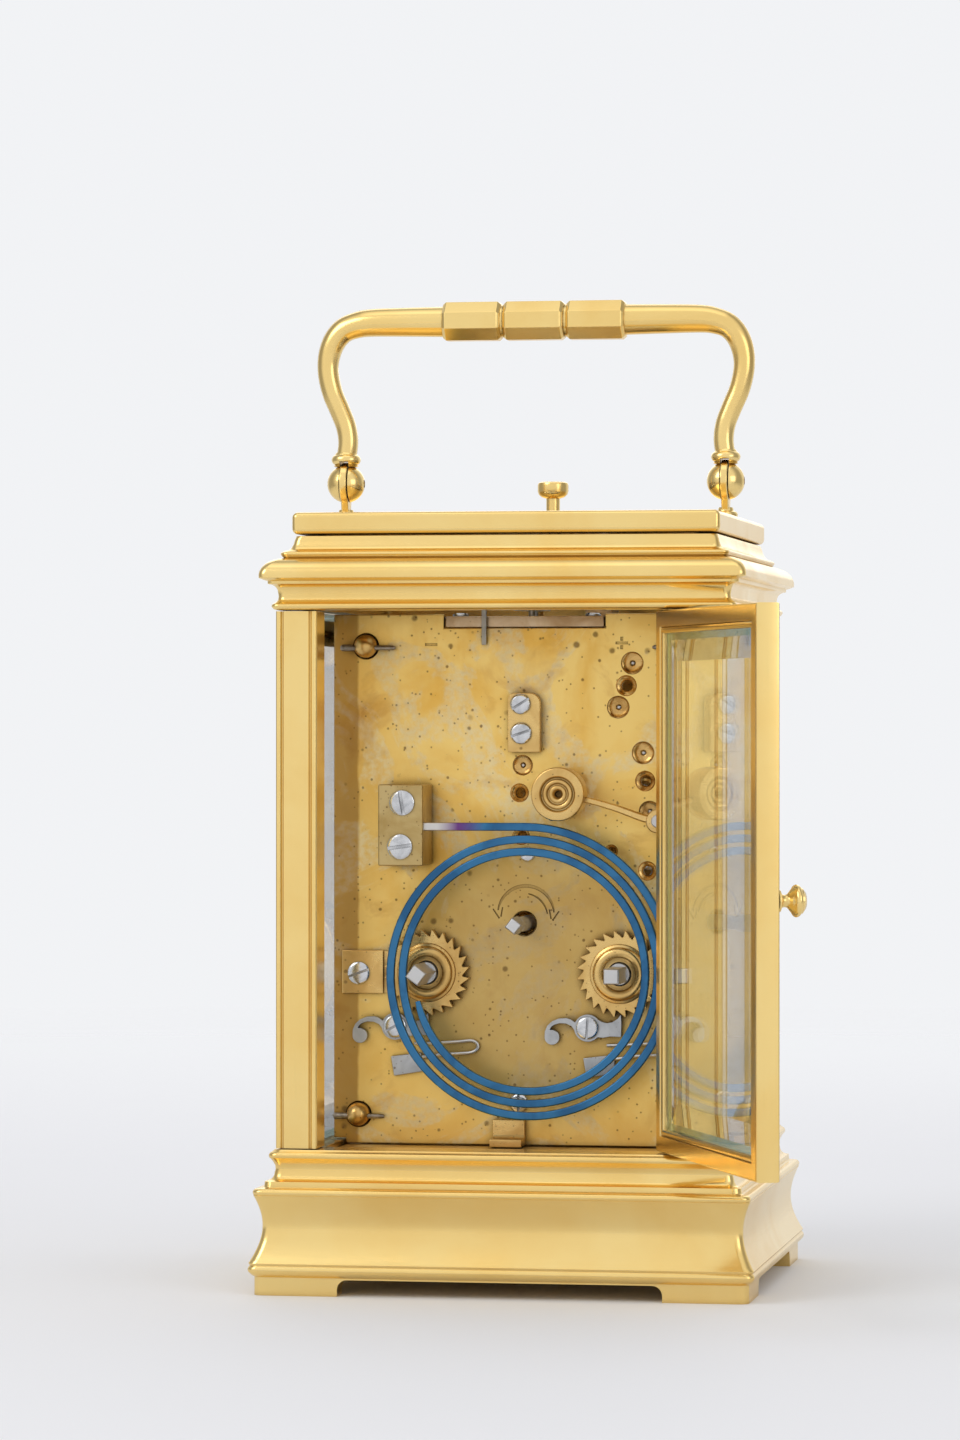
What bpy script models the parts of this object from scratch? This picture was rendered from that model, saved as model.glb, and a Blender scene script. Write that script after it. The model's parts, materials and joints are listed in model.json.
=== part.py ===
"""Gorge-cased carriage clock, built as the separate pieces it comes apart into on a bench.

Lengths below are in millimetres and turned into metres as each mesh is stored. The dial faces -Y and
the rear door +Y, +Z is up, and the origin is the centre of the base cover's underside.
"""

import math

import bmesh
import bpy
from mathutils import Matrix, Vector

# Case
TO_METRES = 0.001
GAP = 0.2
DEPTH_LESS = 4.0  # every moulding's half depth is its half width less this
FOOT_LOW = -3.3
FOOT_CUT_TOP = -0.3
FOOT_LENGTH = 15.5
PLINTH_HALF = 45.0
PLINTH_TOP = 22.8
FLOOR_TOP = 21.9
CORNICE_LOW = 120.4
CORNICE_TOP = 133.9
DOORWAY_HALF = 34.0
COLUMN_SIZE = 7.5
LID_LOW = 134.2
LID_TOP = 138.2
LID_HALF = 39.1
WINDOW_HALF = 22.0
WINDOW_FRONT = -17.5
WINDOW_REAR = 24.0

# Handle
LUG_X = 35.9
HANDLE_Z = 144.9
GRIP_Z = 175.1
BALL_RADIUS = 3.55
SLOT_HALF = 0.85
BLADE_HALF = 0.65

# Rear door, drawn shut and then swung open about its pivots
DOOR_PIVOT_X = -30.4
DOOR_PIVOT_Y = 35.5
DOOR_WIDTH = 64.1  # from the pivot to the free edge
DOOR_HEEL = 2.9  # from the pivot to the hinged edge
DOOR_HALF_THICK = 2.1
KNOB_Z = 70.1
DOOR_BORDER = 3.0
DOOR_OPEN = math.radians(112.3)

# Repeat button
BUTTON_Y = -22.0
BUTTON_HEAD_LOW = 143.4
BUTTON_HEAD_TOP = 146.0

# Movement plates
PLATE_HALF = 35.8
PLATE_LOW = 22.1
PLATE_TOP = 120.1
PLATE_THICK = 2.0
BACK_IN = 10.2
BACK_OUT = BACK_IN + PLATE_THICK
FRONT_IN = -23.5
FRONT_OUT = FRONT_IN - PLATE_THICK
PLATFORM_LOW = 117.7
PLATFORM_TOP = 119.7
PLATFORM_HALF = 14.8
PILLARS = {
    "top_left": (-29.7, 114.2),
    "top_right": (29.7, 114.2),
    "bottom_left": (-31.1, 27.5),
    "bottom_right": (31.1, 27.5),
}

# Arbors, each as (x, z), and the distances that their wheels and pinions mesh at
CENTRE = (0.0, 63.0)
BARREL_X = 18.0
BARREL_Z = 53.9
BARREL_MESH = math.hypot(BARREL_X, CENTRE[1] - BARREL_Z)
THIRD_MESH = 20.0
CONTRATE_MESH = 21.2
THIRD_X = 5.0
THIRD = (THIRD_X, CENTRE[1] + math.sqrt(THIRD_MESH**2 - THIRD_X**2))
CONTRATE = (0.0, THIRD[1] + math.sqrt(CONTRATE_MESH**2 - THIRD_X**2))
PIN_X = -22.0
PIN_WHEEL = (PIN_X, BARREL_Z + math.sqrt(BARREL_MESH**2 - (PIN_X + BARREL_X) ** 2))
WARNING = (-19.0, PIN_WHEEL[1] + math.sqrt(14.2**2 - 3.0**2))
FLY = (-15.5, WARNING[1] + math.sqrt(10.3**2 - 3.5**2))
MINUTE_MESH = 10.0
MINUTE_WHEEL = (-MINUTE_MESH / math.sqrt(2), CENTRE[1] + MINUTE_MESH / math.sqrt(2))
HAMMER = (-26.07, 82.1)
HAMMER_HEAD = (-7.9, 87.0)
ESCAPE_Y = 3.5
PALLET_Y = -1.3
STAFF_Y = -6.8
CONTRATE_RIM = 8.6
TOOTH_GAP = 0.1  # teeth stop this far short of each other, so that no pair locks

CLICK_PIVOT = (-6.0, -10.0)  # from the ratchet's centre, as across towards -X and up
HAND_TURNS = {"minute_hand": 50.0, "hour_hand": -56.0}  # from twelve, towards +X

# Gong, a flat spiral of wire hung in front of the back plate
GONG_CENTRE = (-1.87, 54.0)
GONG_RADIUS = 27.0
GONG_PITCH = 2.27
GONG_TURNS = 2.71
GONG_WIRE = 0.75
GONG_Y = 21.0


def finish(name, colour, metallic, roughness, alpha=1.0):
    """A Principled material; glass is a clear one."""
    made = bpy.data.materials.new(name)
    made.use_nodes = True
    shader = made.node_tree.nodes["Principled BSDF"]
    shader.inputs["Base Color"].default_value = (*colour, 1.0)
    shader.inputs["Metallic"].default_value = metallic
    shader.inputs["Roughness"].default_value = roughness
    shader.inputs["Alpha"].default_value = alpha
    made.diffuse_color = (*colour, alpha)
    return made


FINISHES = {
    "case_brass": ((0.83, 0.60, 0.22), 1.0, 0.22),
    "movement_brass": ((0.72, 0.54, 0.27), 1.0, 0.38),
    "steel": ((0.60, 0.60, 0.60), 1.0, 0.25),
    "blued_steel": ((0.06, 0.08, 0.16), 1.0, 0.30),
    "enamel": ((0.93, 0.92, 0.88), 0.0, 0.20),
    "glass": ((0.90, 0.95, 0.93), 0.0, 0.05, 0.35),
}


def coloured(obj, kind):
    """Gives the object a material of its own in one of the finishes."""
    obj.data.materials.clear()
    obj.data.materials.append(finish(f"{obj.name}_{kind}", *FINISHES[kind]))
    return obj


def stored(name, bm, kind, pivot=(0.0, 0.0, 0.0)):
    """The mesh as an object whose origin is at pivot, with its normals out and its round sides smooth."""
    bmesh.ops.remove_doubles(bm, verts=bm.verts, dist=1e-4)
    bmesh.ops.recalc_face_normals(bm, faces=bm.faces)
    bm.transform(Matrix.Scale(TO_METRES, 4) @ Matrix.Translation(-Vector(pivot)))
    mesh = bpy.data.meshes.new(name)
    bm.to_mesh(mesh)
    bm.free()
    mesh.shade_smooth()
    mesh.set_sharp_from_angle(angle=math.radians(35))
    obj = bpy.data.objects.new(name, mesh)
    obj.location = Vector(pivot) * TO_METRES
    bpy.context.scene.collection.objects.link(obj)
    return coloured(obj, kind)


def along(axis, a, b, height):
    """The point at height along the axis, with a and b on the two other axes in X, Y, Z order."""
    return {"X": (height, a, b), "Y": (a, height, b), "Z": (a, b, height)}[axis]


def bridged(loops, capped=True):
    """A mesh through closed loops of equally many points; a loop of one point is a pole."""
    bm = bmesh.new()
    rows = [[bm.verts.new(point) for point in loop] for loop in loops]
    pairs = list(zip(rows, rows[1:]))
    if not capped:
        pairs.append((rows[-1], rows[0]))
    for low, high in pairs:
        count = max(len(low), len(high))
        for i in range(count):
            j = (i + 1) % count
            if len(low) == 1:
                bm.faces.new((low[0], high[i], high[j]))
            elif len(high) == 1:
                bm.faces.new((low[i], low[j], high[0]))
            else:
                bm.faces.new((low[i], low[j], high[j], high[i]))
    if capped:
        for row in (rows[0], rows[-1]):
            if len(row) > 2:
                bm.faces.new(row)
    return bm


def circle(radius, steps, centre=(0.0, 0.0), phase=0.0):
    """Points round a circle, the first at phase."""
    turns = (phase + 2 * math.pi * i / steps for i in range(steps))
    return [(centre[0] + radius * math.cos(t), centre[1] + radius * math.sin(t)) for t in turns]


def prism(outline, axis, low, high):
    """An outline carried along the axis from low to high."""
    return bridged([[along(axis, a, b, h) for a, b in outline] for h in (low, high)])


def block(x, y, z):
    """A box between pairs of x, y and z."""
    outline = [(x[0], y[0]), (x[1], y[0]), (x[1], y[1]), (x[0], y[1])]
    return prism(outline, "Z", *z)


def turned(profile, axis, centre, steps=16, phase=0.0, hollow=False):
    """Turns (radius, height) pairs round an axis; hollow joins the last pair to the first."""
    loops = []
    for radius, height in profile:
        if radius == 0:
            loops.append([along(axis, *centre, height)])
        else:
            loops.append([along(axis, a, b, height) for a, b in circle(radius, steps, centre, phase)])
    return bridged(loops, capped=not hollow)


def swept(path, radii, sides, y):
    """A round bar along a path of (x, z) points in the plane at y."""
    loops = []
    last = len(path) - 1
    for i, (x, z) in enumerate(path):
        before, after = path[max(i - 1, 0)], path[min(i + 1, last)]
        run = Vector((after[0] - before[0], after[1] - before[1])).normalized()
        loop = []
        for a, b in circle(radii[i], sides):
            loop.append((x - a * run.y, y + b, z + a * run.x))
        loops.append(loop)
    return bridged(loops)


def toothed(count, tip, root, centre, lean=0.5):
    """Outline of a wheel with pointed teeth; lean is how far round the root lies to the next tip."""
    outline = []
    for i in range(count):
        for radius, part in ((tip, 0.0), (root, lean)):
            turn = 2 * math.pi * (i + part) / count
            outline.append((centre[0] + radius * math.cos(turn), centre[1] + radius * math.sin(turn)))
    return outline


def frame_loop(half, height):
    """A rectangular loop of a moulding at one height."""
    deep = half - DEPTH_LESS
    return [(half, deep, height), (-half, deep, height), (-half, -deep, height), (half, -deep, height)]


def moulded(profile):
    """A rectangular ring whose section is the closed list of (half width, height) pairs."""
    return bridged([frame_loop(half, height) for half, height in profile], capped=False)


def helper(name, bm):
    """A mesh used only to cut or join."""
    obj = stored(name, bm, "steel")
    obj.hide_render = True
    obj.display_type = "WIRE"
    return obj


def combine(obj, operation, bm):
    """Adds a Boolean with a helper mesh, which is hidden."""
    count = len(obj.modifiers)
    made = obj.modifiers.new(f"{operation.lower()}_{count}", "BOOLEAN")
    made.operation = operation
    made.solver = "EXACT"
    made.object = helper(f"{obj.name}_helper_{count}", bm)
    return obj


def cut(obj, *cutters):
    for bm in cutters:
        combine(obj, "DIFFERENCE", bm)
    return obj


def joined(obj, *others):
    for bm in others:
        combine(obj, "UNION", bm)
    return obj


# Case ------------------------------------------------------------------------------------------


def gorge():
    """The hollow curve between the plinth's two lips."""
    low, high, sag, steps = (46.0, 2.4), (45.25, 14.9), 1.8, 7
    points = []
    for i in range(steps + 1):
        t = i / steps
        half = low[0] + (high[0] - low[0]) * t - sag * math.sin(math.pi * t)
        points.append((half, low[1] + (high[1] - low[1]) * t))
    return points


def arched(half, radius=1.8):
    """Outline of the gap between two feet, with rounded upper corners."""
    outline = [(-half, FOOT_LOW - 2.0), (half, FOOT_LOW - 2.0)]
    for side, first in ((1, 0), (-1, 90)):
        for i in range(4):
            turn = math.radians(first + 30 * i)
            a = side * (half - radius) + radius * math.cos(turn)
            outline.append((a, FOOT_CUT_TOP - radius + radius * math.sin(turn)))
    return outline


def base_plinth():
    outside = [(PLINTH_HALF, FOOT_LOW), (PLINTH_HALF, 0.0), (46.0, 1.8)]
    outside += gorge()
    outside += [(44.6, 15.8), (43.5, 16.1), (43.4, 17.2), (42.0, 18.2), (41.7, 19.2)]
    outside += [(42.0, 20.6), (42.7, 21.6), (42.7, 22.5), (42.4, PLINTH_TOP)]
    inside = [(33.9, PLINTH_TOP), (33.9, 19.6), (31.5, 19.6), (31.5, 17.6)]
    inside += [(38.5, 15.6), (38.5, 1.5), (40.5, 1.5), (40.5, FOOT_LOW)]
    plinth = stored("base_plinth", moulded(outside + inside), "case_brass")
    long_gap = prism(arched(PLINTH_HALF - FOOT_LENGTH), "Y", -60.0, 60.0)
    side_gap = prism(arched(PLINTH_HALF - DEPTH_LESS - FOOT_LENGTH), "X", -60.0, 60.0)
    pivot_hole = turned([(1.0, 20.9), (1.0, 24.0)], "Z", (DOOR_PIVOT_X, DOOR_PIVOT_Y), 12)
    cut(plinth, long_gap, side_gap, pivot_hole)


def base_cover():
    stored("base_cover", block((-40.2, 40.2), (-36.2, 36.2), (0.0, 1.2)), "case_brass")


def base_floor():
    stored("base_floor", block((-33.6, 33.6), (-29.6, 29.6), (19.9, FLOOR_TOP)), "case_brass")


def column_section():
    """Section of the +X, +Y column from its inner corner, with a groove round both outer panels."""
    s, corner, rebate, border, groove, deep = COLUMN_SIZE, 0.35, 0.7, 0.95, 0.5, 0.35
    middle = border + groove / 2
    edge = [corner, border, middle, border + groove, s - border - groove, s - middle, s - border]
    inset = [0.0, 0.0, deep, 0.0, 0.0, deep, 0.0]
    side = [(s - d, y) for y, d in zip(edge, inset)]
    rear = [(x, s - d) for x, d in zip(reversed(edge), inset)]
    outline = [(0.0, 0.0), (s - corner, 0.0)] + side + [(s, s - corner), (s - corner, s)]
    return outline + rear[:-1] + [(rebate, s), (0.0, s - rebate)]


def columns():
    reach = DOORWAY_HALF
    for across, x_sign in (("left", -1), ("right", 1)):
        for along_case, y_sign in (("front", -1), ("rear", 1)):
            outline = []
            for x, y in column_section():
                outline.append((x_sign * (reach + x), y_sign * (reach - DEPTH_LESS + y)))
            column = prism(outline, "Z", PLINTH_TOP + GAP, CORNICE_LOW - GAP)
            stored(f"column_{along_case}_{across}", column, "case_brass")


def cornice():
    outside = [(41.7, CORNICE_LOW), (42.2, 120.9), (42.2, 121.4), (41.3, 122.2), (41.3, 123.7)]
    outside += [(42.9, 125.1), (42.9, 125.7), (43.9, 126.0)]
    for i in range(6):
        turn = math.radians(18 * i)
        outside.append((40.4 + 3.95 * math.cos(turn), 126.6 + 3.2 * math.sin(turn)))
    outside += [(40.4, 130.0), (40.8, 130.3), (40.8, 130.8), (40.3, 131.2), (39.4, 131.5)]
    outside += [(38.9, 132.4), (38.5, CORNICE_TOP)]
    inside = [(33.9, CORNICE_TOP), (33.9, CORNICE_LOW)]
    ring = stored("cornice", moulded(outside + inside), "case_brass")
    cut(ring, turned([(1.0, 119.0), (1.0, 122.3)], "Z", (DOOR_PIVOT_X, DOOR_PIVOT_Y), 12))


def lid_frame():
    half, deep = LID_HALF, LID_HALF - DEPTH_LESS
    lid = stored("lid_frame", block((-half, half), (-deep, deep), (LID_LOW, LID_TOP)), "case_brass")
    rounded = lid.modifiers.new("rounded_edges", "BEVEL")
    rounded.width = 1.0 * TO_METRES
    rounded.segments = 3
    window_x = (-WINDOW_HALF, WINDOW_HALF)
    recess = block(window_x, (WINDOW_FRONT, WINDOW_REAR), (LID_LOW + 0.8, LID_TOP + 2.0))
    inner_x = (1.0 - WINDOW_HALF, WINDOW_HALF - 1.0)
    through = block(inner_x, (WINDOW_FRONT + 1.0, WINDOW_REAR - 1.0), (LID_LOW - 2.0, LID_TOP))
    stem_hole = turned([(1.55, LID_LOW - 2.0), (1.55, LID_TOP + 2.0)], "Z", (0.0, BUTTON_Y), 16)
    cut(lid, recess, through, stem_hole)


def bevelled_pane(name, axis, low, high, planes, bevel):
    """A pane between two corners; planes are its back, its thin edge and its raised middle."""
    loops = []
    for plane, inset in zip(planes, (0.0, 0.0, bevel)):
        a, b = (low[0] + inset, low[1] + inset), (high[0] - inset, high[1] - inset)
        outline = [(a[0], a[1]), (b[0], a[1]), (b[0], b[1]), (a[0], b[1])]
        loops.append([along(axis, *point, plane) for point in outline])
    return stored(name, bridged(loops), "glass")


def panes():
    low, high = PLINTH_TOP + GAP, CORNICE_LOW - GAP
    deep = DOORWAY_HALF - DEPTH_LESS - 0.3
    for name, sign in (("left", -1), ("right", 1)):
        planes = (37.0 * sign, 38.2 * sign, 39.4 * sign)
        bevelled_pane(f"side_glass_{name}", "X", (-deep, low), (deep, high), planes, 6.0)
    wide = DOORWAY_HALF - 0.3
    bevelled_pane("front_glass", "Y", (-wide, low), (wide, high), (-34.4, -35.6, -36.8), 6.0)
    window = WINDOW_HALF - 0.3
    front, rear = WINDOW_FRONT + 0.3, WINDOW_REAR - 0.3
    bevelled_pane("top_glass", "Z", (-window, front), (window, rear), (135.2, 136.4, 137.6), 5.0)


def handle_arm():
    """One arm's (x, z) path and its radii, from the collar to the grip."""
    path = [(35.9, 150.0), (35.5, 152.6), (35.9, 155.6), (37.1, 158.7), (38.5, 162.0), (39.3, 165.6)]
    path += [(39.2, 168.7), (38.2, 171.6), (36.4, 173.7), (33.9, 174.7), (31.0, GRIP_Z), (16.0, GRIP_Z)]
    thin, thick = 2.05, 2.85
    radii = [thin + (thick - thin) * min(i / 8, 1.0) for i in range(len(path))]
    return path, radii


def handle():
    path, radii = handle_arm()
    mirrored = [(-x, z) for x, z in path]
    whole = mirrored + path[::-1]
    bar = stored("handle", swept(whole, radii + radii[::-1], 8, 0.0), "case_brass", (0.0, 0.0, HANDLE_Z))
    flat = 3.6
    corner = flat / math.cos(math.pi / 8)
    grip = []
    for low, high in ((-17.2, -6.2), (-5.7, 5.7), (6.2, 17.2)):
        grip += [(3.0, low), (corner - 0.35, low), (corner, low + 0.5)]
        grip += [(corner, high - 0.5), (corner - 0.35, high), (3.0, high)]
    joined(bar, turned(grip, "X", (0.0, GRIP_Z), 8, math.pi / 8))
    for side in (-LUG_X, LUG_X):
        ball = [(0.0, -BALL_RADIUS)]
        for i in range(1, 6):
            turn = math.radians(28 * i - 90)
            ball.append((BALL_RADIUS * math.cos(turn), BALL_RADIUS * math.sin(turn)))
        ball += [(2.0, 3.3), (2.1, 3.9), (2.85, 4.2), (2.85, 5.6), (2.2, 6.0), (0.0, 6.4)]
        lifted = [(radius, HANDLE_Z + height) for radius, height in ball]
        joined(bar, turned(lifted, "Z", (side, 0.0), 12))
    for side in (-LUG_X, LUG_X):
        slot = block((side - SLOT_HALF, side + SLOT_HALF), (-5.0, 5.0), (HANDLE_Z - 5.0, HANDLE_Z + 2.6))
        bore = turned([(0.75, side - 3.3), (0.75, side + 3.3)], "X", (0.0, HANDLE_Z), 12)
        cut(bar, slot, bore)


def handle_lugs():
    for name, side in (("left", -LUG_X), ("right", LUG_X)):
        low = LID_TOP + GAP
        flange = [(2.2, low), (2.2, low + 0.7), (1.5, low + 1.2)]
        lug = stored(f"handle_lug_{name}", turned(flange, "Z", (side, 0.0), 16), "case_brass")
        eye = [(-1.4, low + 0.4), (1.4, low + 0.4)]
        for i in range(5):
            turn = math.radians(45 * i)
            eye.append((2.2 * math.cos(turn), HANDLE_Z + 2.2 * math.sin(turn)))
        joined(lug, prism(eye, "X", side - BLADE_HALF, side + BLADE_HALF))
        cut(lug, turned([(0.75, side - 3.0), (0.75, side + 3.0)], "X", (0.0, HANDLE_Z), 12))
        pin = turned([(0.6, side - 3.1), (0.6, side + 3.1)], "X", (0.0, HANDLE_Z), 8)
        stored(f"handle_pin_{name}", pin, "steel", (side, 0.0, HANDLE_Z))


def rear_door():
    """Frame, glass and knob, drawn shut about their pivot and hung on an empty that stands open."""
    hinge = bpy.data.objects.new("rear_door_axis", None)
    hinge.location = Vector((DOOR_PIVOT_X, DOOR_PIVOT_Y, 0.0)) * TO_METRES
    hinge.rotation_euler.z = DOOR_OPEN
    bpy.context.scene.collection.objects.link(hinge)
    low, high = PLINTH_TOP + 0.3, CORNICE_LOW - 0.3
    thick = DOOR_HALF_THICK
    section = [(DOOR_WIDTH, -thick), (DOOR_WIDTH, thick)]
    radius = 0.8
    for side, first in ((1, 90), (-1, 180)):
        for i in range(3):
            turn = math.radians(first + 45 * i)
            corner = (radius - DOOR_HEEL, side * (thick - radius))
            section.append((corner[0] + radius * math.cos(turn), corner[1] + radius * math.sin(turn)))
    frame = stored("rear_door_frame", prism(section, "Z", low, high), "case_brass")
    left, right = DOOR_BORDER - DOOR_HEEL, DOOR_WIDTH - DOOR_BORDER
    light = block((left, right), (-5.0, 5.0), (low + DOOR_BORDER, high - DOOR_BORDER))
    cut(frame, light)
    joined(frame, turned([(0.8, low - 1.8), (0.8, low + 1.0)], "Z", (0.0, 0.0), 12))
    joined(frame, turned([(0.8, high - 1.0), (0.8, high + 1.8)], "Z", (0.0, 0.0), 12))
    corners = (left + GAP, low + DOOR_BORDER + GAP), (right - GAP, high - DOOR_BORDER - GAP)
    glass = bevelled_pane("rear_door_glass", "Y", *corners, (-1.1, 0.0, 1.1), 6.0)
    face = thick + GAP
    knob = [(1.7, 0.0), (1.7, 0.5), (1.0, 1.1), (1.0, 1.8), (2.2, 2.6), (2.75, 3.4), (2.5, 4.4), (1.2, 4.9)]
    spool = [(radius, face + height) for radius, height in knob]
    grasp = stored("rear_door_knob", turned(spool, "Y", (DOOR_WIDTH - 1.9, KNOB_Z), 12), "case_brass")
    for piece in (frame, glass, grasp):
        piece.parent = hinge
    for piece in bpy.data.objects:
        if piece.name.startswith("rear_door_frame_helper"):
            piece.parent = hinge


def repeat_button():
    low, high = BUTTON_HEAD_LOW, BUTTON_HEAD_TOP
    shape = [(2.3, 131.2), (2.3, 133.4), (1.3, 133.6), (1.3, low - 0.2), (2.7, low), (3.1, low + 0.5)]
    shape += [(3.1, high - 0.8), (2.6, high - 0.2), (1.4, high)]
    stored("repeat_button", turned(shape, "Z", (0.0, BUTTON_Y), 14), "case_brass")


# Movement --------------------------------------------------------------------------------------


def plate_outline():
    """Front or back plate: narrower where it stands inside the plinth, notched for the platform."""
    notch, foot, sill = PLATFORM_HALF + 0.3, 33.5, PLINTH_TOP + 0.3
    outline = [(foot, PLATE_LOW), (foot, sill), (PLATE_HALF, sill), (PLATE_HALF, PLATE_TOP)]
    outline += [(notch, PLATE_TOP), (notch, PLATFORM_LOW - GAP)]
    return outline + [(-a, b) for a, b in reversed(outline)]


def hole(radius, centre, plate_low):
    span = [(radius, plate_low - 1.0), (radius, plate_low + PLATE_THICK + 1.0)]
    return turned(span, "Y", centre, 16)


def movement_plates():
    back = stored("back_plate", prism(plate_outline(), "Y", BACK_IN, BACK_OUT), "movement_brass")
    for side in (-BARREL_X, BARREL_X):
        cut(back, hole(2.35, (side, BARREL_Z), BACK_IN))
    cut(back, hole(2.1, CENTRE, BACK_IN), hole(1.4, HAMMER, BACK_IN))
    for centre in PILLARS.values():
        cut(back, hole(2.25, centre, BACK_IN))
    front = stored("front_plate", prism(plate_outline(), "Y", FRONT_OUT, FRONT_IN), "movement_brass")
    cut(front, hole(2.0, CENTRE, FRONT_OUT))


def pillars():
    low, high = FRONT_IN + GAP, BACK_IN - GAP
    shape = [(3.5, low), (3.5, low + 2.5), (2.7, low + 3.5), (2.7, high - 3.5), (3.5, high - 2.5)]
    shape += [(3.5, high), (2.05, high), (2.05, BACK_OUT + 2.6), (1.6, BACK_OUT + 3.0)]
    for name, centre in PILLARS.items():
        stored(f"pillar_{name}", turned(shape, "Y", centre, 10), "movement_brass")


def arbor(name, centre, radius, low, high, kind="steel"):
    """A plain arbor with a thinner pivot at each end, which stops short of the plates."""
    pivot = radius * 0.6
    shape = [(pivot, low), (pivot, low + 0.8), (radius, low + 0.8), (radius, high - 0.8)]
    shape += [(pivot, high - 0.8), (pivot, high)]
    return stored(name, turned(shape, "Y", centre, 8), kind, (centre[0], 0.0, centre[1]))


def wheel(count, tip, centre, low, high, deep=1.0):
    return prism(toothed(count, tip, tip - deep, centre), "Y", low, high)


def between_plates(name, centre, radius):
    return arbor(name, centre, radius, FRONT_IN + GAP, BACK_IN - GAP, "movement_brass")


def tips(distance, ratio):
    """Tip radii of a wheel and its pinion at this distance, clear of each other by TOOTH_GAP."""
    shared = distance - TOOTH_GAP
    return shared * ratio / (ratio + 1), shared / (ratio + 1)


def barrels():
    tip, _ = tips(BARREL_MESH, 6)
    drum = [(0.0, -14.2), (15.2, -14.2), (16.0, -13.8), (16.0, 8.0), (15.4, 8.6), (0.0, 8.6)]
    for name, side in (("going", BARREL_X), ("strike", -BARREL_X)):
        centre = (side, BARREL_Z)
        body = turned(drum, "Y", centre, 28)
        barrel = stored(f"{name}_barrel", body, "movement_brass", (side, 0.0, BARREL_Z))
        joined(barrel, wheel(72, tip, centre, -13.6, -12.0))
        cut(barrel, turned([(2.6, -20.0), (2.6, 20.0)], "Y", centre, 12))


def square(half, centre, turn):
    return circle(half * math.sqrt(2), 4, centre, math.radians(45 + turn))


def winding_arbors():
    """Arbor, ratchet wheel and winding square of each barrel."""
    for name, side, turn in (("going", BARREL_X, 45), ("strike", -BARREL_X, 0)):
        centre = (side, BARREL_Z)
        low, ratchet_low = FRONT_IN + GAP, BACK_OUT + 0.3
        shape = [(1.4, low), (1.4, low + 1.0), (2.2, low + 1.0), (2.2, ratchet_low), (4.9, ratchet_low)]
        shape += [(4.9, ratchet_low + 2.4), (4.3, ratchet_low + 2.8), (2.2, ratchet_low + 2.8), (2.0, 16.6)]
        pivot = (side, 0.0, BARREL_Z)
        made = stored(f"{name}_winding_arbor", turned(shape, "Y", centre, 20), "steel", pivot)
        teeth = toothed(22, 8.0, 6.7, centre, 0.12)
        joined(made, prism(teeth, "Y", ratchet_low + 0.1, ratchet_low + 1.8))
        joined(made, prism(square(1.4, centre, turn), "Y", 14.0, 25.2))


def centre_arbor():
    wheel_tip, _ = tips(THIRD_MESH, 8)
    _, pinion_tip = tips(BARREL_MESH, 6)
    _, cannon_tip = tips(MINUTE_MESH, 3)
    shape = [(0.95, -33.8), (0.95, -28.7), (1.6, -28.7), (1.6, -23.0), (1.4, -23.0), (1.4, 15.5)]
    shape += [(1.2, 16.0), (1.2, 19.4)]
    pivot = (CENTRE[0], 0.0, CENTRE[1])
    made = stored("centre_arbor", turned(shape, "Y", CENTRE, 14), "steel", pivot)
    joined(made, wheel(80, wheel_tip, CENTRE, -17.6, -16.2))
    joined(made, wheel(12, pinion_tip, CENTRE, -14.4, -11.2))
    joined(made, wheel(12, cannon_tip, CENTRE, -28.6, -26.6, 0.8))
    joined(made, prism(square(1.15, CENTRE, 45), "Y", 18.6, 25.2))


def going_train():
    wheel_tip, leaf_tip = tips(CONTRATE_MESH, 7.5)
    _, pinion_tip = tips(THIRD_MESH, 8)
    third = between_plates("third_wheel", THIRD, 0.8)
    joined(third, wheel(75, wheel_tip, THIRD, -21.4, -20.2), wheel(10, pinion_tip, THIRD, -18.0, -15.8, 0.7))
    rim = CONTRATE_RIM
    shape = [(0.5, FRONT_IN + GAP), (0.5, -22.6), (0.8, -22.6), (0.8, -0.3), (rim, -0.3), (rim, 2.2)]
    shape += [(rim - 1.1, 2.2), (rim - 1.1, 0.8), (0.8, 0.8), (0.8, 9.2), (0.5, 9.2), (0.5, BACK_IN - GAP)]
    pivot = (CONTRATE[0], 0.0, CONTRATE[1])
    contrate = stored("contrate_wheel", turned(shape, "Y", CONTRATE, 24), "movement_brass", pivot)
    joined(contrate, wheel(10, leaf_tip, CONTRATE, -21.9, -19.6, 0.8))


def platform():
    low, high = PLATFORM_LOW, PLATFORM_TOP
    half = PLATFORM_HALF
    plate = block((-half, half), (FRONT_OUT + 0.2, BACK_OUT - 0.2), (low, high))
    top = stored("platform_plate", plate, "movement_brass")
    cut(top, turned([(1.6, low - 1.0), (1.6, high + 1.0)], "Z", (0.0, ESCAPE_Y), 14))
    shape = [(0.4, 106.4), (0.6, 107.0), (0.6, 108.2), (1.0, 108.2), (1.0, 113.4), (0.6, 113.4)]
    shape += [(0.6, 123.4), (0.3, 123.6), (0.3, 124.2)]
    escape = stored("escape_wheel", turned(shape, "Z", (0.0, ESCAPE_Y), 10), "steel", (0.0, ESCAPE_Y, 0.0))
    joined(escape, prism(toothed(15, 3.4, 2.5, (0.0, ESCAPE_Y), 0.15), "Z", 120.9, 121.6))
    lever = [(-2.7, -0.5), (-0.5, -0.7), (-0.4, -4.6), (0.4, -4.6), (0.5, -0.7), (2.7, -0.5), (2.7, 0.6)]
    lever += [(1.9, 0.7), (0.0, 0.6), (-1.9, 0.7), (-2.7, 0.6)]
    outline = [(x, PALLET_Y + y) for x, y in lever]
    pallet = stored("pallet_lever", prism(outline, "Z", 120.9, 121.6), "steel", (0.0, PALLET_Y, 0.0))
    joined(pallet, turned([(0.4, high + GAP), (0.4, 122.8)], "Z", (0.0, PALLET_Y), 8))


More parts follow.
